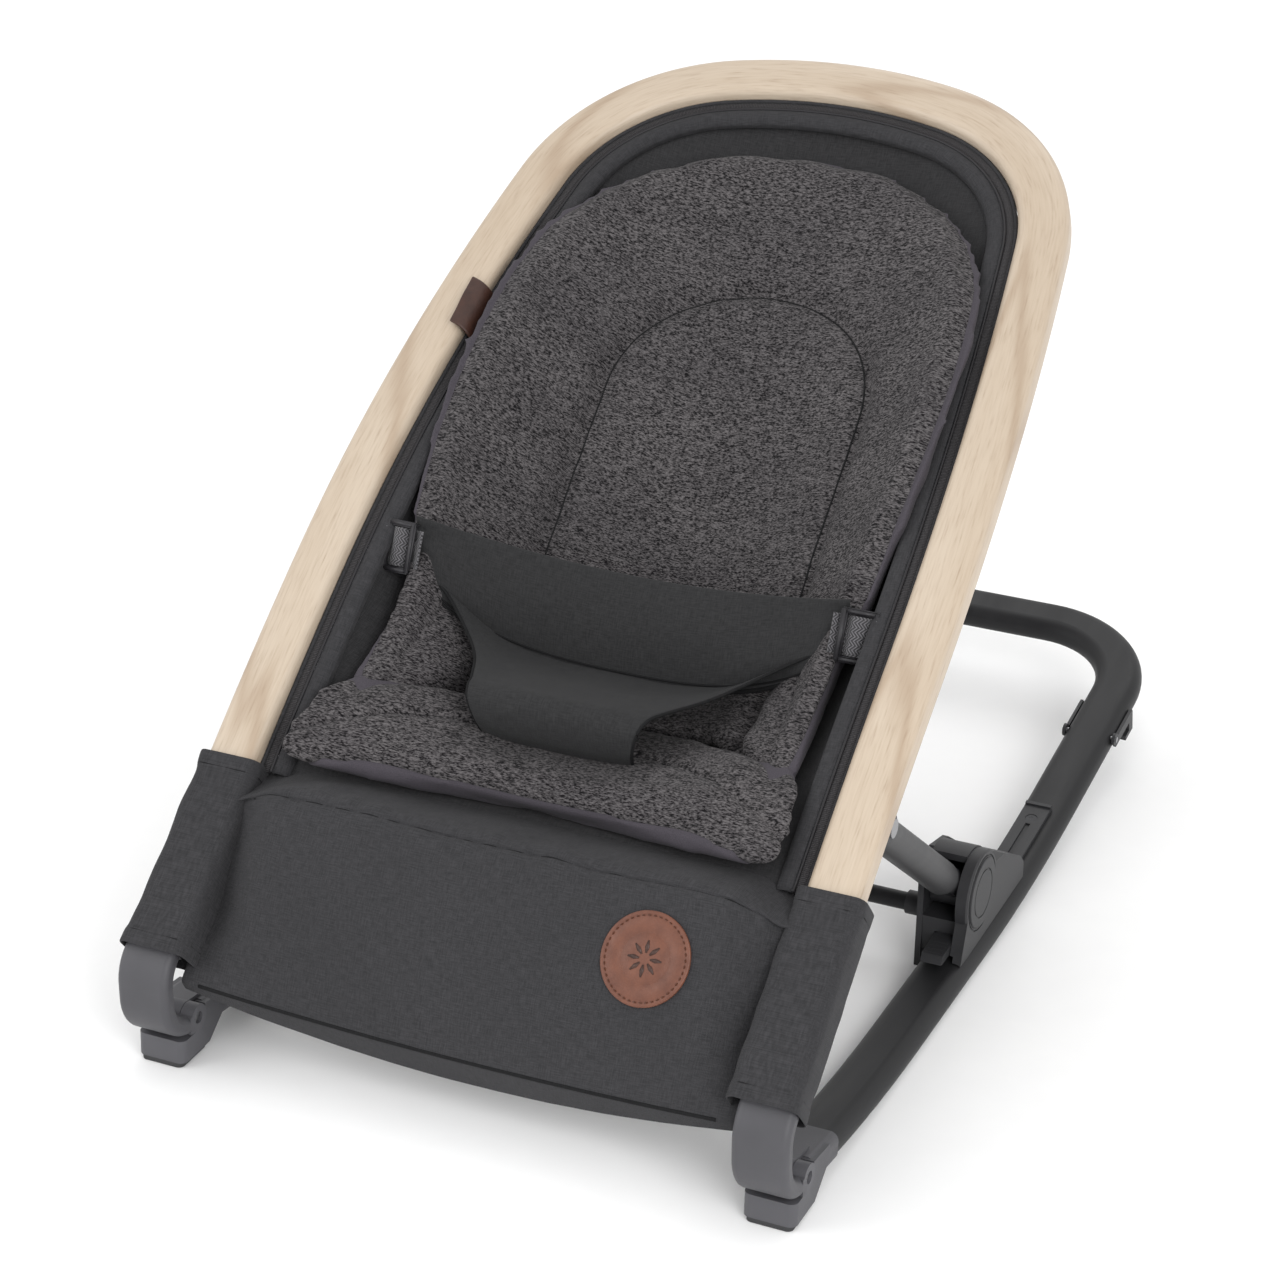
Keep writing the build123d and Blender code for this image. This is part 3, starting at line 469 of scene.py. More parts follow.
def plastic(name, color, roughness, grain=2600.0, edge=0.25):
    """Moulded plastic: fine spark grain, slight cloudiness, and edges rubbed a little paler."""
    m = Surface(name, color, roughness, Specular_IOR_Level=0.32)
    place = m.objects()
    spark = m.noise(place, grain, 2, 0.6)
    cloud = m.noise(place, 30.0, 3, 0.5)
    tone_shift = m.spread(m.nodes.new("ShaderNodeNewGeometry").outputs["Pointiness"], 0.52, 0.62, 0, edge)
    clouded = m.mix(m.spread(cloud, 0.3, 0.7), color, tuple(0.86 * c for c in color))
    m.color(m.mix(tone_shift, clouded, tuple(min(1, 1.9 * c) for c in color)))
    m.rough(m.spread(spark, 0.3, 0.7, roughness - 0.06, roughness + 0.08))
    m.bump((spark, 0.12, 0.0004))
    return m.material


def coated(name, color, roughness, metal=0.35):
    """Powder-coated tube: fine orange peel and faint handling marks."""
    m = Surface(name, color, roughness, Metallic=metal, Specular_IOR_Level=0.25)
    place = m.objects()
    peel = m.noise(place, 1400.0, 2, 0.55)
    marks = m.noise(m.scaled(place, 60, 6, 60), 1.0, 4, 0.6)
    m.color(m.mix(m.spread(marks, 0.35, 0.75), color, tuple(1.25 * c for c in color)))
    m.rough(m.spread(marks, 0.3, 0.8, roughness - 0.05, roughness + 0.10))
    m.bump((peel, 0.10, 0.0004))
    return m.material


def steel(name, color):
    m = Surface(name, color, 0.32, Metallic=0.95)
    place = m.objects()
    turned = m.noise(m.scaled(place, 2500, 200, 2500), 1.0, 2, 0.5)
    m.rough(m.spread(turned, 0.3, 0.7, 0.26, 0.42))
    m.bump((turned, 0.1, 0.0002))
    return m.material


def rubber():
    m = Surface("foot_rubber", (0.030, 0.030, 0.032), 0.85)
    place = m.objects()
    grain = m.noise(place, 1800.0, 3, 0.6)
    m.color(m.mix(m.spread(grain, 0.3, 0.7), (0.026, 0.026, 0.028), (0.045, 0.045, 0.047)))
    m.bump((grain, 0.3, 0.0005))
    return m.material


MAPLE = maple()
CLOTH = woven("charcoal_cloth", (0.027, 0.027, 0.0288), (0.049, 0.048, 0.0515), 0.00045, 0.04)
SLING_CLOTH = woven("sling_cloth", (0.022, 0.022, 0.023), (0.042, 0.041, 0.043), 0.0004, 0.04)
BAND_CLOTH = woven("band_cloth", (0.020, 0.020, 0.0208), (0.036, 0.036, 0.0372), 0.0004, 0.04, 0.15)
KNIT = cushion_cloth()
TAPE = ribbed("zip_tape", (0.020, 0.019, 0.020), (0.075, 0.071, 0.075), 0.0012)
COIL = plastic("zip_coil", (0.017, 0.016, 0.018), 0.45)
THREAD = woven("thread", (0.010, 0.010, 0.0105), (0.018, 0.018, 0.019), 0.0004, 0.0)
WEBBING = chevron()
LEATHER = leather("patch_leather", (0.150, 0.050, 0.025), (0.098, 0.031, 0.016))
TAG_LEATHER = leather("tag_leather", (0.048, 0.015, 0.007), (0.026, 0.008, 0.004))
STITCH = woven("brown_thread", (0.060, 0.020, 0.010), (0.100, 0.034, 0.017), 0.0004)
ARM_PLASTIC = plastic("arm_plastic", (0.072, 0.071, 0.078), 0.48)
HUB_PLASTIC = plastic("hub_plastic", (0.024, 0.024, 0.026), 0.48)
BUCKLE_PLASTIC = plastic("buckle_plastic", (0.028, 0.027, 0.030), 0.38)
RAIL_COAT = coated("rail_coat", (0.0125, 0.0125, 0.0135), 0.48, 0.0)
STRUT_COAT = coated("strut_coat", (0.044, 0.044, 0.0455), 0.45, 0.0)
STEEL = steel("plated_steel", (0.30, 0.30, 0.31))
# steel painted near black for the track screws: it is painted shade of the holes they sit in
SCREW_SHADE_STEEL = steel("screw_steel_painted_shade", (0.035, 0.035, 0.037))
RUBBER = rubber()

PAINT = {
    "base_tube": RAIL_COAT, "cross_tube": RAIL_COAT, "strut_tube": STRUT_COAT, "leg": STEEL,
    "curved_arm": ARM_PLASTIC, "base_end": ARM_PLASTIC, "foot_pad": RUBBER, "hub_body": HUB_PLASTIC,
    "hub_cover": HUB_PLASTIC, "hub_cap": HUB_PLASTIC, "track": HUB_PLASTIC, "stop_foot": HUB_PLASTIC,
    "strut_upper_ends": HUB_PLASTIC, "strut_lower_ends": HUB_PLASTIC, "pivot_bracket": HUB_PLASTIC,
    "cross_tube_collars": HUB_PLASTIC, "release_lever": HUB_PLASTIC, "hinge_pins": STEEL,
    "track_screws": SCREW_SHADE_STEEL, "stop_foot_pins": STEEL, "arch_bolts": STEEL, "pivot_pins": STEEL,
    "hub_axles": STEEL, "hub_screws": STEEL, "lever_spring": STEEL,
}


def paint_cad_nodes():
    for name, node in frame["nodes"].items():
        kind = name.removesuffix("_left").removesuffix("_right")
        if kind in PAINT:
            node.data.materials.clear()
            node.data.materials.append(PAINT[kind])


# --- wooden arch --------------------------------------------------------------------------------------
def rounded_section(half, rise, corner, steps=5):
    """Points of a rounded rectangle, anticlockwise, as (across, rise)."""
    points = []
    for quarter in range(4):
        cx = (half - corner) * (1 if quarter in (0, 3) else -1)
        cy = (rise - corner) * (1 if quarter in (0, 1) else -1)
        for i in range(steps + 1):
            a = pi / 2 * (quarter + i / steps)
            points.append((cx + corner * cos(a), cy + corner * sin(a)))
    return points


def wooden_arch():
    section = rounded_section(WOOD_HALF, WOOD_RISE, WOOD_ROUND)
    foot = (ARCH_X, -WOOD_BELOW_HEM, pi / 2, -WOOD_BELOW_HEM)
    far_foot = (-ARCH_X, -WOOD_BELOW_HEM, -pi / 2, ARCH_LONG + WOOD_BELOW_HEM)
    stations = [foot] + ARCH + [far_foot]
    sides = len(section)
    points = [beside_arch(station, u, t) for station in stations for u, t in section]
    faces = [(i * sides + j, i * sides + (j + 1) % sides, (i + 1) * sides + (j + 1) % sides,
              (i + 1) * sides + j)
             for i in range(len(stations) - 1) for j in range(sides)]
    faces += [tuple(range(sides)), tuple((len(stations) - 1) * sides + j for j in range(sides))]
    mesh = mesh_of("bent_wood_arch", points, faces)
    lay(mesh, [(station[3], u, t) for station in stations for u, t in section], "grain")
    arch = link("bent_wood_arch", mesh, MAPLE)
    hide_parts("wood_arch")
    return arch


# --- sling and its border -----------------------------------------------------------------------------
def border_strip(name, profile, material, thick=0.0009, body="seat"):
    """Strip that follows the inside of the arch, from (inward, rise) points."""
    columns = len(profile)
    points = [beside_arch(station, u, t) for station in ARCH for u, t in profile]
    faces = [(i * columns + j, i * columns + j + 1, (i + 1) * columns + j + 1, (i + 1) * columns + j)
             for i in range(len(ARCH) - 1) for j in range(columns - 1)]
    mesh = mesh_of(name, points, faces)
    places = [(u, station[3], 0) for station in ARCH for u, _ in profile]
    lay(mesh, places)
    strip = link(name, mesh, material, body)
    thicken = strip.modifiers.new("thickness", "SOLIDIFY")
    thicken.thickness = thick
    return strip


def sling_border():
    """Zip tape, zip coil, piping and the flat seam allowance inside the wood."""
    tape = border_strip("zip_tape", [(0.0172, -0.0045), (0.0176, -0.0012), (0.0190, 0.0010), (0.0220,
                                                                                              0.0018),
                                     (0.0250, 0.0014), (0.0262, 0.0002)], TAPE, 0.0012)
    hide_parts("sling_rim")
    hem = border_strip("sling_seam", [(0.0258, -0.0014), (0.0272, 0.0016), (0.0300, 0.0024), (0.0345,
                                                                                              0.0016),
                                      (0.0378, -0.0004), (0.0390, -0.0040)], CLOTH, 0.0014)
    coil_path = [beside_arch(station, 0.0262, 0.0016) for station in arch_path(0.0012)]
    coil = tube("zip_coil", coil_path, 0.00105, COIL, 6, wobble=lambda i: 1.18 if i % 2 else 0.86)
    piping = tube("sling_piping", [beside_arch(station, 0.0186, 0.0016) for station in ARCH], 0.0013, CLOTH)
    return tape


def inner_edge():
    """Half width inside the sewn border for each distance up the frame, and where the border closes."""
    edge = []
    for x, up, heading, _ in arch_path(0.002):
        edge.append((up + RIM_INNER * cos(heading), x - RIM_INNER * sin(heading)))
    right = [(up, x) for up, x in edge if x >= 0]
    return np.array([r[0] for r in right]), np.array([r[1] for r in right])


EDGE_UP, EDGE_X = inner_edge()
SLING_TOP = float(EDGE_UP.max())
SLING_LOW = -0.006


def sling_point(v, u):
    """Sling surface: v from the seat's front to the head, u from left to right."""
    end = SLING_TOP - 0.0004
    s = SLING_LOW + (end - SLING_LOW) * sin(v * pi / 2) ** 0.92 if v < 1 else end
    half = float(np.interp(s, EDGE_UP, EDGE_X))
    depth = through(LINER + ((SLING_TOP, 0.0, 0.0035),), s)[1] - 0.0025
    depth = max(depth, 0.0012)
    radius = (half ** 2 + depth ** 2) / (2 * depth)
    a = (2 * u - 1) * asin(min(half / radius, 1.0)) if depth < half else (2 * u - 1) * pi / 2
    rise = -0.0025 + (radius - depth) - radius * cos(a)
    return over(radius * sin(a), s, rise)


def sling():
    rows, columns = 90, 61
    piece = cloth_sheet("fabric_sling", rows, columns, sling_point, SLING_CLOTH, 0.0016, 0.0, 1)
    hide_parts("sling")
    return piece


# --- cushions -----------------------------------------------------------------------------------------
def loop_through(half_outline, steps=8):
    """Closed smooth outline from the right half, listed from the bottom middle to the top middle."""
    left = [(-x, s) for x, s in half_outline[-2:0:-1]]
    corners = [Vector(p) for p in half_outline + left]
    points, count = [], len(corners)
    for i in range(count):
        a, b, c, d = (corners[(i + k - 1) % count] for k in range(4))
        for j in range(steps):
            t = j / steps
            points.append(0.5 * (2 * b + (c - a) * t + (2 * a - 5 * b + 4 * c - d) * t ** 2
                                 + (3 * b - a - 3 * c + d) * t ** 3))
    return points


def pad_base(name, outline, middle, low, thick, rings=12):
    """Closed pad over an outline given across and up the frame: two crowned faces that meet at the edge."""
    centre, points, count = Vector(middle), [], len(outline)
    for side in (1, -1):
        for r in range(rings):
            share = 1 - (r / rings) ** 1.5
            if side < 0 and r == 0:
                continue
            crown = side * sqrt(1 - share ** 7)
            for p in outline:
                q = centre + (p - centre) * share
                points.append(on_liner(q.x, q.y, low + thick / 2 * (1 + crown)))
    top_tip = len(points)
    points.append(on_liner(centre.x, centre.y, low + thick))
    points.append(on_liner(centre.x, centre.y, low))
    faces = []

    def ring_start(side, r):
        return r * count if side > 0 or r == 0 else (rings + r - 1) * count

    for side in (1, -1):
        for r in range(rings - 1):
            a, b = ring_start(side, r), ring_start(side, r + 1)
            for j in range(count):
                k = (j + 1) % count
                faces.append((a + j, a + k, b + k, b + j))
        last, tip = ring_start(side, rings - 1), top_tip + (side < 0)
        faces += [(last + j, last + (j + 1) % count, tip) for j in range(count)]
    return link(name, mesh_of(name, points, faces), None, None)


def settled(obj):
    """The object's mesh with its modifiers taken up, and the object removed."""
    mesh = bpy.data.meshes.new_from_object(obj.evaluated_get(bpy.context.evaluated_depsgraph_get()))
    bpy.data.objects.remove(obj)
    return mesh


def inflated(obj, voxel=0.0045, pressure=4.0, most=0.007, frames=20):
    """Voxel remesh, then cloth under pressure for a few frames, with each point's travel capped."""
    remesh = obj.modifiers.new("remesh", "REMESH")
    remesh.mode, remesh.voxel_size = "VOXEL", voxel
    name = obj.name
    base = link(name + ".cloth", settled(obj), None, None)
    start = np.array([v.co for v in base.data.vertices])
    cloth = base.modifiers.new("cloth", "CLOTH")
    cloth.settings.use_pressure = True
    cloth.settings.uniform_pressure_force = pressure
    cloth.settings.effector_weights.gravity = 0
    cloth.settings.tension_stiffness = cloth.settings.compression_stiffness = 12
    cloth.settings.bending_stiffness = 0.4
    for number in range(1, frames + 1):
        bpy.context.scene.frame_set(number)
    mesh = settled(base)
    moved = np.array([v.co for v in mesh.vertices]) - start
    length = np.linalg.norm(moved, axis=1, keepdims=True)
    capped = start + moved * np.minimum(1, most / np.maximum(length, 1e-9))
    mesh.vertices.foreach_set("co", capped.ravel())
    bpy.context.scene.frame_set(1)
    padded = link(name + ".smooth", mesh, None, None)
    padded.modifiers.new("even", "SMOOTH").iterations = 6
    padded.modifiers.new("finer", "SUBSURF").levels = 1
    return settled(padded)


SIDE_TABLE = [frame_at(i * 0.002 - 0.02) for i in range(330)]
SIDE_Y, SIDE_Z, SIDE_SLOPE = (np.array([row[k] for row in SIDE_TABLE]) for k in range(3))


def liner_places(co):
    """For points: distance across, distance up the frame, and lift off the liner's outer surface."""
    y, z = co[:, 1] + MIDDLE_Y, co[:, 2]
    near = np.array([np.argmin((SIDE_Y - a) ** 2 + (SIDE_Z - b) ** 2) for a, b in zip(y, z)])
    tilt = SIDE_SLOPE[near]
    along = (y - SIDE_Y[near]) * np.cos(tilt) + (z - SIDE_Z[near]) * np.sin(tilt)
    rise = (z - SIDE_Z[near]) * np.cos(tilt) - (y - SIDE_Y[near]) * np.sin(tilt)
    s = near * 0.002 - 0.02 + along
    arcs = np.array([liner_arc(max(v, 0.0)) for v in s])
    away = np.hypot(co[:, 0], arcs[:, 2] - rise)
    across = arcs[:, 1] * np.arctan2(co[:, 0], arcs[:, 2] - rise)
    return across, s, arcs[:, 1] - away, rise


CORNER_FROM = 0.140                # the seat pad's front corners turn down from here


def cushion(name, half_outline, middle, low, thick, edge_seam, grooves, corner_drop=0.0, body="seat"):
    """A stuffed pad on the liner, with sewn grooves: (distance function, depth, width) each."""
    mesh = inflated(pad_base(name, loop_through(half_outline), middle, low, thick))
    made = bmesh.new()
    made.from_mesh(mesh)
    made.normal_update()
    normals = np.array([v.normal for v in made.verts])
    made.free()
    co = np.array([v.co for v in mesh.vertices])
    across, up, lift, _ = liner_places(co)
    seam = low + edge_seam * thick - corner_drop * np.maximum(0, np.abs(co[:, 0]) - CORNER_FROM)
    inset = np.zeros(len(co))
    on_top = np.clip((lift - seam) / (0.25 * thick), 0, 1)
    for distance, depth, width in grooves:
        d = distance(co[:, 0], up)
        pucker = np.array([noise.noise(Vector((a * 70, b * 70, 3.0))) for a, b in zip(co[:, 0], up)])
        inset += on_top * (depth * np.exp(-(d / width) ** 2) + 0.0016 * np.exp(-(d / 0.0022) ** 2)
                           + 0.0012 * pucker * np.exp(-(d / (2.5 * width)) ** 2))
    inset += 0.0011 * np.exp(-((lift - seam) / 0.0013) ** 2) * (1 - on_top)
    ripple = np.array([noise.noise(Vector(p) * 42) for p in co])
    co += normals * (0.0009 * ripple - inset)[:, None]
    mesh.vertices.foreach_set("co", co.ravel())
    lay(mesh, np.stack([across, up, lift], 1))
    face = mesh.attributes.new("face", "FLOAT", "POINT")
    face.data.foreach_set("value", np.clip(0.5 + (lift - seam) / 0.004, 0, 1).astype(np.float32))
    pad = link(name, mesh, KNIT, body)
    return pad


def sewn_line(name, pad, places, sink=0.0003):
    """Dark thread that lies on a pad's surface, through places given across and up the frame."""
    tree = BVHTree.FromObject(pad, bpy.context.evaluated_depsgraph_get())
    path = []
    for x, s in places:
        high, low = on_liner(x, s, 0.060), on_liner(x, s, 0.0)
        hit = tree.ray_cast(high, (low - high).normalized())[0]
        if hit:
            path.append(hit + (low - high).normalized() * sink)
    thread = tube(name, path, 0.0008, THREAD, 6)
    return thread


INNER_X, INNER_HALF, INNER_SPRING, INNER_RISE = 0.006, 0.091, 0.345, 0.090
INNER_LOW = 0.150                  # the stitched arch's legs start here, behind the belly band


def inner_arch(x, up):
    """Distance to the arch that is stitched into the back cushion."""
    side = np.abs(np.abs(x - INNER_X) - INNER_HALF)
    round_ = np.abs(np.hypot((x - INNER_X) / INNER_HALF, (up - INNER_SPRING) / INNER_RISE) - 1) * INNER_HALF
    return np.where(up < INNER_SPRING, side, round_)


def seat_quilting(x, up):
    """Distance to the shallow line stitched across the seat cushion."""
    return np.abs(up - (0.078 - 0.036 * (np.abs(x) / 0.14) ** 2.2))


def hip_fold(x, up):
    """Distance to the fold where the back cushion turns up at the hips."""
    return np.where(up < 0.19, np.abs(np.abs(x) - (0.118 + 0.1 * (0.19 - up))), 0.05 + np.abs(up - 0.19))


def cushions():
    back = cushion("back_pad", [(0, 0.102), (0.055, 0.098), (0.098, 0.084), (0.133, 0.060), (0.152, 0.060),
                                (0.155, 0.100), (0.157, 0.150), (0.164, 0.210), (0.170, 0.290), (0.171,
                                                                                                 0.350),
                                (0.168, 0.402), (0.158, 0.451), (0.134, 0.494), (0.094, 0.528), (0.048,
                                                                                                 0.548),
                                (0, 0.554)],
                   (0, 0.27), 0.0045, 0.0190, 0.54, [(inner_arch, 0.0058, 0.0075), (hip_fold, 0.003, 0.010)])
    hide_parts("back_cushion")
    legs = [(i / 30, INNER_LOW + i / 30 * (INNER_SPRING - INNER_LOW)) for i in range(31)]
    round_ = [(INNER_X + INNER_HALF * cos(a), INNER_SPRING + INNER_RISE * sin(a))
              for a in (pi * i / 70 for i in range(1, 70))]
    arch_line = [(INNER_X + INNER_HALF, s) for _, s in legs] + round_ \
        + [(INNER_X - INNER_HALF, s) for _, s in reversed(legs)]
    sewn_line("back_stitching", back, arch_line)
    seat = cushion("seat_pad", [(0, 0.010), (0.080, 0.009), (0.140, 0.009), (0.168, 0.011), (0.175, 0.022),
                                (0.169, 0.046), (0.159, 0.072), (0.139, 0.091), (0.105, 0.104), (0.050,
                                                                                                 0.112),
                                (0, 0.115)],
                   (0, 0.06), 0.0085, 0.0190, 0.68, [(seat_quilting, 0.0018, 0.0040)], 0.6)
    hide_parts("seat_cushion")
    quilt = [(x / 1000, 0.078 - 0.036 * (abs(x) / 140) ** 2.2) for x in range(-140, 141, 4)]
    sewn_line("seat_stitching", seat, quilt, 0.0008)


# --- front panel and sleeves --------------------------------------------------------------------------
APRON_HALF, APRON_FLAT = 0.187, 0.148          # half width, and where the sides start to fall to the sleeves
APRON_TOP_SLOPE = radians(-13)
UNDER_SLOPE = radians(-62)
UNDER_SHARE, FRONT_SHARE, TURN_SHARE = 0.10, 0.62, 0.72     # rows: underside, front, rounded top seam
TURN_R = 0.013
TOP_SEAM = 0.655


def apron_fold(x, v):
    """Gathers along the top seam and scallops on the underside."""
    gather = noise.noise(Vector((x * 30, v * 4, 1.7))) + 0.6 * noise.noise(Vector((x * 80, v * 7, 5.2)))
    width = 0.07 if v < TOP_SEAM else 0.17
    fold = 0.0042 * gather * exp(-((v - TOP_SEAM) / width) ** 2)
    fold += 0.0010 * noise.noise(Vector((x * 11, v * 3, 8.1))) - 0.0022 * exp(-((v - TOP_SEAM) / 0.008) ** 2)
    if v < UNDER_SHARE:
        fold += 0.0026 * noise.noise(Vector((x * 34, v * 6, 2.2))) * (1 - v / UNDER_SHARE)
    return fold


def apron_point(v, u):
    """Front panel: v from the underside's edge over the hem, up the front and back to the seat."""
    x = (2 * u - 1) * APRON_HALF
    bow = 1 - (x / APRON_HALF) ** 2
    foot = (-0.0125 + 0.0085 * bow, 0.0700 - 0.0120 * bow)
    top = (0.0575 + 0.0015 * bow, 0.1690 - 0.0030 * bow)
    slope = atan2(top[1] - foot[1], top[0] - foot[0])
    long = hypot(top[1] - foot[1], top[0] - foot[0])
    side = smooth_step((abs(x) - APRON_FLAT) / (APRON_HALF - APRON_FLAT))
    if v < UNDER_SHARE:
        back = (1 - v / UNDER_SHARE) * (0.008 + 0.020 * bow)
        y, z, bulge, normal = foot[0] + back * cos(UNDER_SLOPE), foot[1] + back * sin(UNDER_SLOPE), 0.0, slope
        bulge -= 0.004 * side
    elif v < FRONT_SHARE:
        t = (v - UNDER_SHARE) / (FRONT_SHARE - UNDER_SHARE)
        y, z = foot[0] + t * long * cos(slope), foot[1] + t * long * sin(slope)
        bulge = 0.0045 * sin(pi * t) * bow ** 0.5 - side * (0.004 + 0.017 * smooth_step(t * 2.2))
        normal = slope
    else:
        t = (v - FRONT_SHARE) / (1 - FRONT_SHARE)
        turned = min(1, t / (TURN_SHARE - FRONT_SHARE) * (1 - FRONT_SHARE))
        normal = slope + turned * (APRON_TOP_SLOPE - slope)
        y = top[0] + TURN_R * (sin(slope) - sin(normal))
        z = top[1] + TURN_R * (cos(normal) - cos(slope))
        back = max(0, (v - TURN_SHARE) / (1 - TURN_SHARE))
        y, z = y + 0.050 * back * cos(APRON_TOP_SLOPE), z + 0.050 * back * sin(APRON_TOP_SLOPE)
        z += (0.010 * side - 0.003 * bow) * back
        bulge = -0.021 * side * (1 - 0.5 * t)
    bulge += apron_fold(x, v)
    return at(x, y - bulge * sin(normal), z + bulge * cos(normal))


def front_panel():
    panel = cloth_sheet("front_panel", 100, 111, apron_point, CLOTH, 0.0016, 0.0, 1)
    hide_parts("apron")
    # the top seam's thread is thickened into a dark line: besides the stitching it is painted shade of the
    # gathered seam
    pieces = [tube("panel_piping", [apron_point(UNDER_SHARE, i / 120) for i in range(4, 117)], 0.0013,
                   THREAD),
              tube("panel_top_seam_and_shade", [apron_point(TOP_SEAM, i / 240) for i in range(8, 233)], 0.0015,
                   THREAD)]


SLEEVE_LOW, SLEEVE_LONG = -0.1325, 0.1345      # from the hem down the leg, and the sleeve's length


def sleeve(side):
    """Fabric tube round the leg, with a turned hem at each end."""
    section = rounded_section(0.0222, 0.0152, 0.0075, 5)
    count = len(section)

    def point(v, u):
        across, rise = section[round(u * count) % count]
        s = SLEEVE_LOW + SLEEVE_LONG * v
        fold = 0.0011 * noise.noise(Vector((across * 60 + 9 * side, s * 26, rise * 60)))
        fold += 0.0007 * noise.noise(Vector((across * 130, s * 60 + 5 * side, rise * 130)))
        flare = 1.0 + 0.05 * (1 - v) ** 3
        hem = 0.0006 if v < 0.07 or v > 0.93 else 0.0
        x = ARCH_X - 0.0002 + (across * flare + (fold + hem) * (1 if across > 0 else -1))
        return over(side * x, s, rise * flare - 0.0020 + (fold + hem) * (1 if rise > 0 else -1))

    name = "leg_sleeve_" + ("right" if side > 0 else "left")
    rows = 46
    points, faces = grid(rows, count, point, ring=True)
    mesh = mesh_of(name, points, faces)
    lay(mesh, [(0.0055 * (n % count) if n % count < 13 else 0.0055 * (count - n % count),
                SLEEVE_LONG * (n // count) / (rows - 1), 0) for n in range(len(points))])
    cover = link(name, mesh, CLOTH)
    thicken = cover.modifiers.new("thickness", "SOLIDIFY")
    thicken.thickness, thicken.offset = 0.0014, -1
    smooth = cover.modifiers.new("smooth", "SUBSURF")
    smooth.levels = smooth.render_levels = 1
    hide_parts("sleeve_right" if side > 0 else "sleeve_left")
    for end, share in (("top", 0.93), ("bottom", 0.07)):
        path = [point(share, j / count) for j in range(count)]
        hem = tube(f"{name}_{end}_stitching", path, 0.00045, THREAD, 6, closed=True)


# --- belly band, crotch strap and their buckles -------------------------------------------------------
BAND_HALF = 0.151


def band_point(v, u):
    """Belly band: v from the top edge to the hem, u from left to right."""
    x = (2 * u - 1) * BAND_HALF
    out = abs(x) / BAND_HALF
    sag = 1 - out ** 2
    y, z = 0.2470 + 0.0190 * sag, 0.2860 - 0.0225 * sag
    drop = 0.031 + 0.035 * (1 - out ** 3.4) ** 0.8
    lean = radians(25.5)
    bulge = 0.006 * sin(pi * v) * sag + 0.0022 * (1 - v) * sag
    pleat = smooth_step((out - 0.80) / 0.2) * 0.0016 * cos(v * 5 * pi)
    ripple = 0.0009 * noise.noise(Vector((x * 16, v * 2.5, 4.4)))
    bulge += pleat + ripple
    return at(x, y - v * drop * sin(lean) - bulge * cos(lean), z - v * drop * cos(lean) + bulge * sin(lean))


STRAP_SHIFT = -0.005
# Control points of the crotch strap's right half, row by row from behind the band down to the seat.
STRAP_ROWS = (
    ((0, 0.256, 0.236), (0.050, 0.254, 0.240), (0.100, 0.249, 0.250), (0.142, 0.241, 0.268)),
    ((0, 0.246, 0.210), (0.046, 0.245, 0.212), (0.094, 0.242, 0.226), (0.140, 0.236, 0.254)),
    ((0, 0.222, 0.207), (0.038, 0.222, 0.208), (0.078, 0.227, 0.216), (0.118, 0.230, 0.240)),
    ((0, 0.190, 0.217), (0.028, 0.190, 0.217), (0.056, 0.192, 0.218), (0.084, 0.200, 0.224)),
    ((0, 0.160, 0.226), (0.022, 0.160, 0.226), (0.044, 0.161, 0.226), (0.065, 0.164, 0.225)),
    ((0, 0.147, 0.228), (0.020, 0.147, 0.228), (0.041, 0.148, 0.227), (0.061, 0.151, 0.225)),
    ((0, 0.140, 0.221), (0.019, 0.140, 0.221), (0.039, 0.141, 0.220), (0.058, 0.144, 0.219)),
    ((0, 0.142, 0.207), (0.018, 0.142, 0.207), (0.037, 0.143, 0.206), (0.054, 0.146, 0.205)),
    ((0, 0.150, 0.193), (0.017, 0.150, 0.193), (0.034, 0.151, 0.192), (0.051, 0.154, 0.191)),
    ((0, 0.160, 0.182), (0.016, 0.160, 0.182), (0.033, 0.161, 0.181), (0.050, 0.164, 0.180)),
)


def strap_point(v, u):
    side = 2 * u - 1
    row_at = v * (len(STRAP_ROWS) - 1)
    rows = []
    for i, row in enumerate(STRAP_ROWS):
        column = through([(j / 3, *p) for j, p in enumerate(row)], abs(side))
        rows.append((i, *column))
    x, y, z = through(rows, row_at)
    ripple = 0.0012 * noise.noise(Vector((side * 2.4, v * 5, 6.3)))
    return at(x * (1 if side > 0 else -1) + STRAP_SHIFT * smooth_step(v * 2), y, z + ripple)


def belly_band():
    band = cloth_sheet("belly_band_cover", 18, 81, band_point, BAND_CLOTH, 0.0028, 0.0, 1)
    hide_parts("belly_band")
    # dark bead along the band's lower edge: the real hem fold, thickened into a painted shade line under it
    hem = tube("band_hem_shade_line", [band_point(1.0, i / 120) + Vector((0, -0.0006, 0)) for i in range(121)], 0.0016,
               THREAD)
    stitch = tube("band_stitching", [band_point(0.94, i / 120) + Vector((0, -0.0017, 0.0004))
                                     for i in range(3, 118)], 0.0007, THREAD, 6)
    strap = cloth_sheet("crotch_strap_cover", 61, 41, strap_point, BAND_CLOTH, 0.0020, 0.0, 1)
    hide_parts("crotch_strap")
    for side, u in (("left", 0.0), ("right", 1.0)):
        edge = tube(f"strap_edge_{side}", [strap_point(i / 90, u) for i in range(91)], 0.0011, THREAD)


def bar(made, low, high, bevel):
    """Rounded bar between two corners, added to a bmesh."""
    corners = [Vector((x, y, z)) for x in (low[0], high[0]) for y in (low[1], high[1]) for z in (low[2],
                                                                                                 high[2])]
    v = [made.verts.new(c) for c in corners]
    quads = ((0, 1, 3, 2), (4, 6, 7, 5), (0, 4, 5, 1), (2, 3, 7, 6), (0, 2, 6, 4), (1, 5, 7, 3))
    new_faces = [made.faces.new([v[i] for i in q]) for q in quads]
    edges = list({e for f in new_faces for e in f.edges})
    bmesh.ops.bevel(made, geom=edges, offset=bevel, segments=3, affect="EDGES")


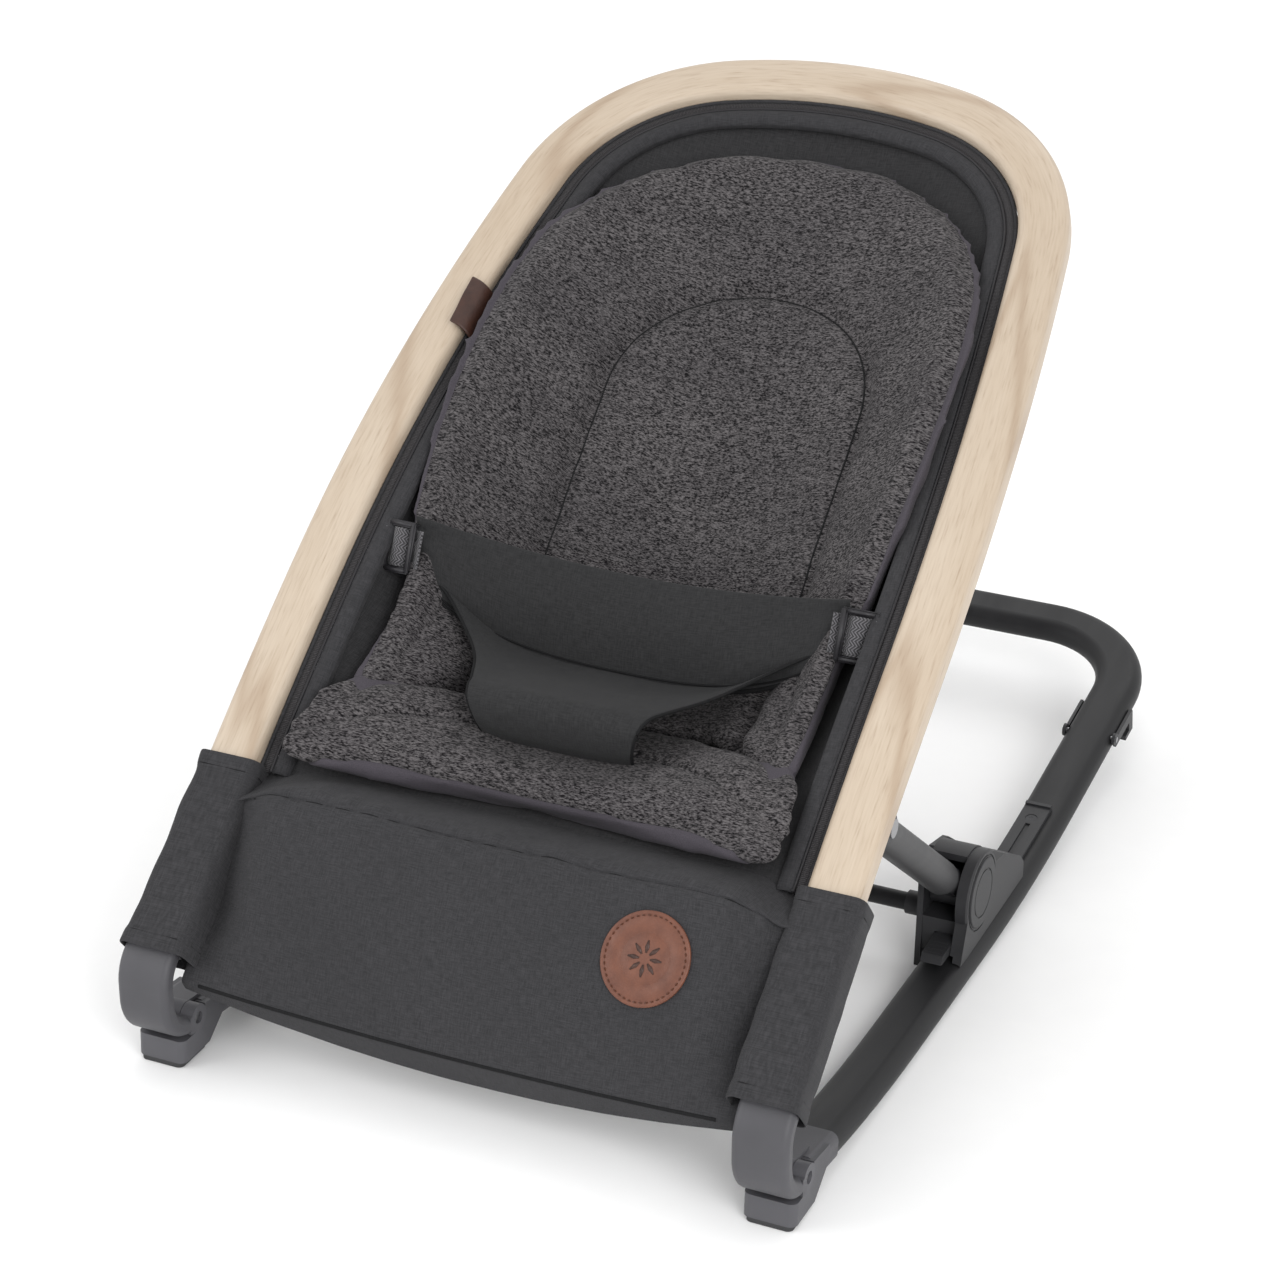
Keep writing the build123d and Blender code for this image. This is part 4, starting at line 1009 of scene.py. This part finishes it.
BUCKLE = (0.160, 0.2385, 0.2655)          # middle of the right buckle
BUCKLE_WIDE, BUCKLE_LONG = 0.034, 0.024
BAND_DOWN = Vector((0, -sin(radians(25.5)), -cos(radians(25.5))))
BAND_OUT = Vector((0, -cos(radians(25.5)), sin(radians(25.5))))


def buckle_place(side, x, down, out):
    """Point of the buckle: along the strap from its middle, down its width, and out of the band."""
    return at(side * (BUCKLE[0] + x), BUCKLE[1], BUCKLE[2]) + BAND_DOWN * down + BAND_OUT * (out - 0.25 * x)


def buckle(side):
    name = "right" if side > 0 else "left"
    made = bmesh.new()
    w, l = BUCKLE_WIDE / 2, BUCKLE_LONG / 2
    bar(made, (-l, -w, -0.0022), (l, -w + 0.0040, 0.0040), 0.0010)
    bar(made, (-l, w - 0.0040, -0.0022), (l, w, 0.0040), 0.0010)
    bar(made, (-l, -w, 0.0005), (-l + 0.0040, w, 0.0046), 0.0010)
    bar(made, (l - 0.0040, -w, 0.0005), (l, w, 0.0046), 0.0010)
    bar(made, (-0.0022, -w, -0.0012), (0.0018, w, 0.0026), 0.0010)
    for v in made.verts:
        v.co = buckle_place(side, v.co.x, v.co.y, v.co.z)
    mesh = bpy.data.meshes.new(f"ladder_buckle_{name}")
    made.to_mesh(mesh)
    made.free()
    frame_piece = link(f"ladder_buckle_{name}", mesh, BUCKLE_PLASTIC)
    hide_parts(f"buckle_{name}")
    half = 0.0125
    loops = {
        "strap": ((-0.0170, 0.0010), (-0.0120, -0.0012), (-0.0075, -0.0004), (-0.0035, 0.0032), (0, 0.0040),
                  (0.0035, 0.0032), (0.0070, -0.0004), (0.0120, -0.0016), (0.0160, -0.0034), (0.0190,
                                                                                              -0.0055)),
        "tail": ((0.0100, 0.0052), (0.0130, 0.0050), (0.0165, 0.0034), (0.0185, 0.0016)),
    }
    for kind, path in loops.items():
        knots = [(i / (len(path) - 1), *p) for i, p in enumerate(path)]

        def point(v, u):
            x, out = through(knots, v)
            return buckle_place(side, x, (2 * u - 1) * half * (1.0 if kind == "strap" else 0.96), out)

        ribbon = cloth_sheet(f"webbing_{kind}_{name}", 34, 7, point, WEBBING, 0.0013, 0.0, 0)
        if kind == "strap":
            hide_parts(f"webbing_{name}")


# --- leather ------------------------------------------------------------------------------------------
PATCH_X, PATCH_UP, PATCH_R = 0.110, 0.0825, 0.0285


def patch_place(x, up, out):
    """Point on the front panel, out from its surface, from the patch's middle."""
    u = 0.5 + (PATCH_X + x) / APRON_HALF / 2
    v = 0.10 + 0.52 * (PATCH_UP + up) / 0.122
    p = apron_point(v, u)
    step = 0.004
    right, high = apron_point(v, u + step) - p, apron_point(v + step, u) - p
    return p + right.cross(high).normalized() * (-out if right.cross(high).y > 0 else out)


def disc(name, profile, material, sides=72):
    """Turned disc on the patch's place, from (radius, out) points."""
    def point(v, u):
        radius, out = profile[round(v * (len(profile) - 1))]
        return patch_place(radius * cos(2 * pi * u), radius * sin(2 * pi * u), out)
    points, faces = grid(len(profile), sides, point, ring=True)
    faces.append(tuple((len(profile) - 1) * sides + j for j in range(sides)))
    return link(name, mesh_of(name, points, faces), material)


def leather_patch():
    edge = 0.0026
    patch = disc("round_leather_patch",
                 [(PATCH_R, 0.0010), (PATCH_R, 0.0022), (PATCH_R - 0.0003, edge), (PATCH_R - 0.0015,
                                                                                   edge + 0.0002),
                  (0.0262, edge), (0.0256, edge - 0.0003), (0.0250, edge), (0.0165, edge), (0.0160,
                                                                                            edge - 0.0004),
                  (0.0152, edge - 0.0004), (0.0147, edge), (0.0090, edge + 0.0001), (0.0004,
                                                                                     edge + 0.0001)], LEATHER)
    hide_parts("leather_patch")
    made_points, made_faces = [], []
    stitches, long, thick = 44, 0.0021, 0.00042
    for i in range(stitches):
        middle = 2 * pi * i / stitches
        start = len(made_points)
        for k in range(5):
            a = middle + (k / 4 - 0.5) * long / 0.0256
            lift = edge + 0.0002 * sin(pi * k / 4)
            fat = thick * (0.55 + 0.45 * sin(pi * k / 4))
            for j in range(6):
                b = 2 * pi * j / 6
                r = 0.0256 + fat * cos(b)
                made_points.append(patch_place(r * cos(a), r * sin(a), lift + fat * sin(b)))
        for k in range(4):
            for j in range(6):
                n = (j + 1) % 6
                made_faces.append((start + 6 * k + j, start + 6 * k + n, start + 6 * k + 6 + n,
                                   start + 6 * k + 6 + j))
        made_faces += [tuple(range(start, start + 6))[::-1], tuple(range(start + 24, start + 30))]
    mesh = mesh_of("patch_stitches", made_points, made_faces)
    lay(mesh, [(0, 0, 0)] * len(made_points))
    stitching = link("patch_stitches", mesh, STITCH)
    rays, ray_points, ray_faces = 8, [], []
    for i in range(rays):
        a = 2 * pi * i / rays
        start = len(ray_points)
        for radius, width in ((0.0035, 0.0005), (0.0070, 0.0014), (0.0110, 0.0004)):
            for edge_side in (-1, 1):
                x = radius * cos(a) - edge_side * width * sin(a)
                y = radius * sin(a) + edge_side * width * cos(a)
                for out in (0.0018, 0.0029):
                    ray_points.append(patch_place(x, y, out))
        for k in (0, 4):
            n = start + k
            ray_faces += [(n + 1, n + 3, n + 7, n + 5), (n, n + 1, n + 5, n + 4), (n + 2, n + 6, n + 7,
                                                                                   n + 3),
                          (n, n + 4, n + 6, n + 2)]
        ray_faces += [(start, start + 2, start + 3, start + 1), (start + 8, start + 9, start + 11,
                                                                 start + 10)]
    rosette = link("patch_rosette", mesh_of("patch_rosette", ray_points, ray_faces), TAG_LEATHER)


def leather_tag():
    """Folded tag that stands up from the border's seam on the left arm."""
    def point(v, u):
        s = 0.336 + 0.040 * u + 0.004 * v
        x, rise = through(((0, -0.1710, 0.0020), (0.4, -0.1755, 0.0095), (0.7, -0.1800, 0.0135),
                           (1, -0.1865, 0.0160)), v)
        return over(x, s, rise + 0.0010 * noise.noise(Vector((u * 3, v * 2, 0.4))))
    tag = cloth_sheet("folded_leather_tag", 12, 22, point, TAG_LEATHER, 0.0020, 0.0, 1)
    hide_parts("leather_tag")


# --- camera, light and floor --------------------------------------------------------------------------
def stage():
    floor_mesh = mesh_of("floor", *grid(2, 2, lambda v, u: Vector((60 * u - 30, 60 * v - 30, -0.0005))))
    floor = Surface("floor", (0.93, 0.93, 0.93), 0.9)
    grain = floor.noise(floor.objects(), 40.0, 2, 0.5)
    floor.color(floor.mix(floor.spread(grain, 0.3, 0.7), (0.925, 0.925, 0.925), (0.935, 0.935, 0.935)))
    link("floor", floor_mesh, floor.material, None)
    world = bpy.data.worlds.new("studio")
    bpy.context.scene.world = world
    world.use_nodes = True
    world.node_tree.nodes["Background"].inputs["Color"].default_value = (1, 1, 1, 1)
    world.node_tree.nodes["Background"].inputs["Strength"].default_value = 1.0
    bpy.context.scene.view_settings.view_transform = "Standard"
    for name, place, size, power in (("key", (1.7, -1.7, 1.4), 1.2, 30.0), ("fill", (-1.8, -1.5, 1.3), 1.5,
                                                                            16.0),
                                     ("back", (-0.2, 1.9, 2.2), 1.6, 10.0)):
        light = bpy.data.lights.new(name, "AREA")
        light.size, light.energy = size, power
        lamp = bpy.data.objects.new(name, light)
        lamp.location = place
        lamp.rotation_euler = (Vector((0, 0, 0.2)) - Vector(place)).to_track_quat("-Z", "Y").to_euler()
        bpy.context.scene.collection.objects.link(lamp)
    camera = bpy.data.cameras.new("camera")
    camera.lens, camera.sensor_width = 97.07, 36.0
    eye = bpy.data.objects.new("camera", camera)
    eye.location = (0.8366, -1.9031, 1.1987)
    eye.rotation_euler = (radians(63.871), 0, radians(24.774))
    bpy.context.scene.collection.objects.link(eye)
    bpy.context.scene.camera = eye


paint_cad_nodes()
wooden_arch()
sling_border()
sling()
cushions()
front_panel()
belly_band()
for hand in (1, -1):
    sleeve(hand)
    buckle(hand)
leather_patch()
leather_tag()
stage()
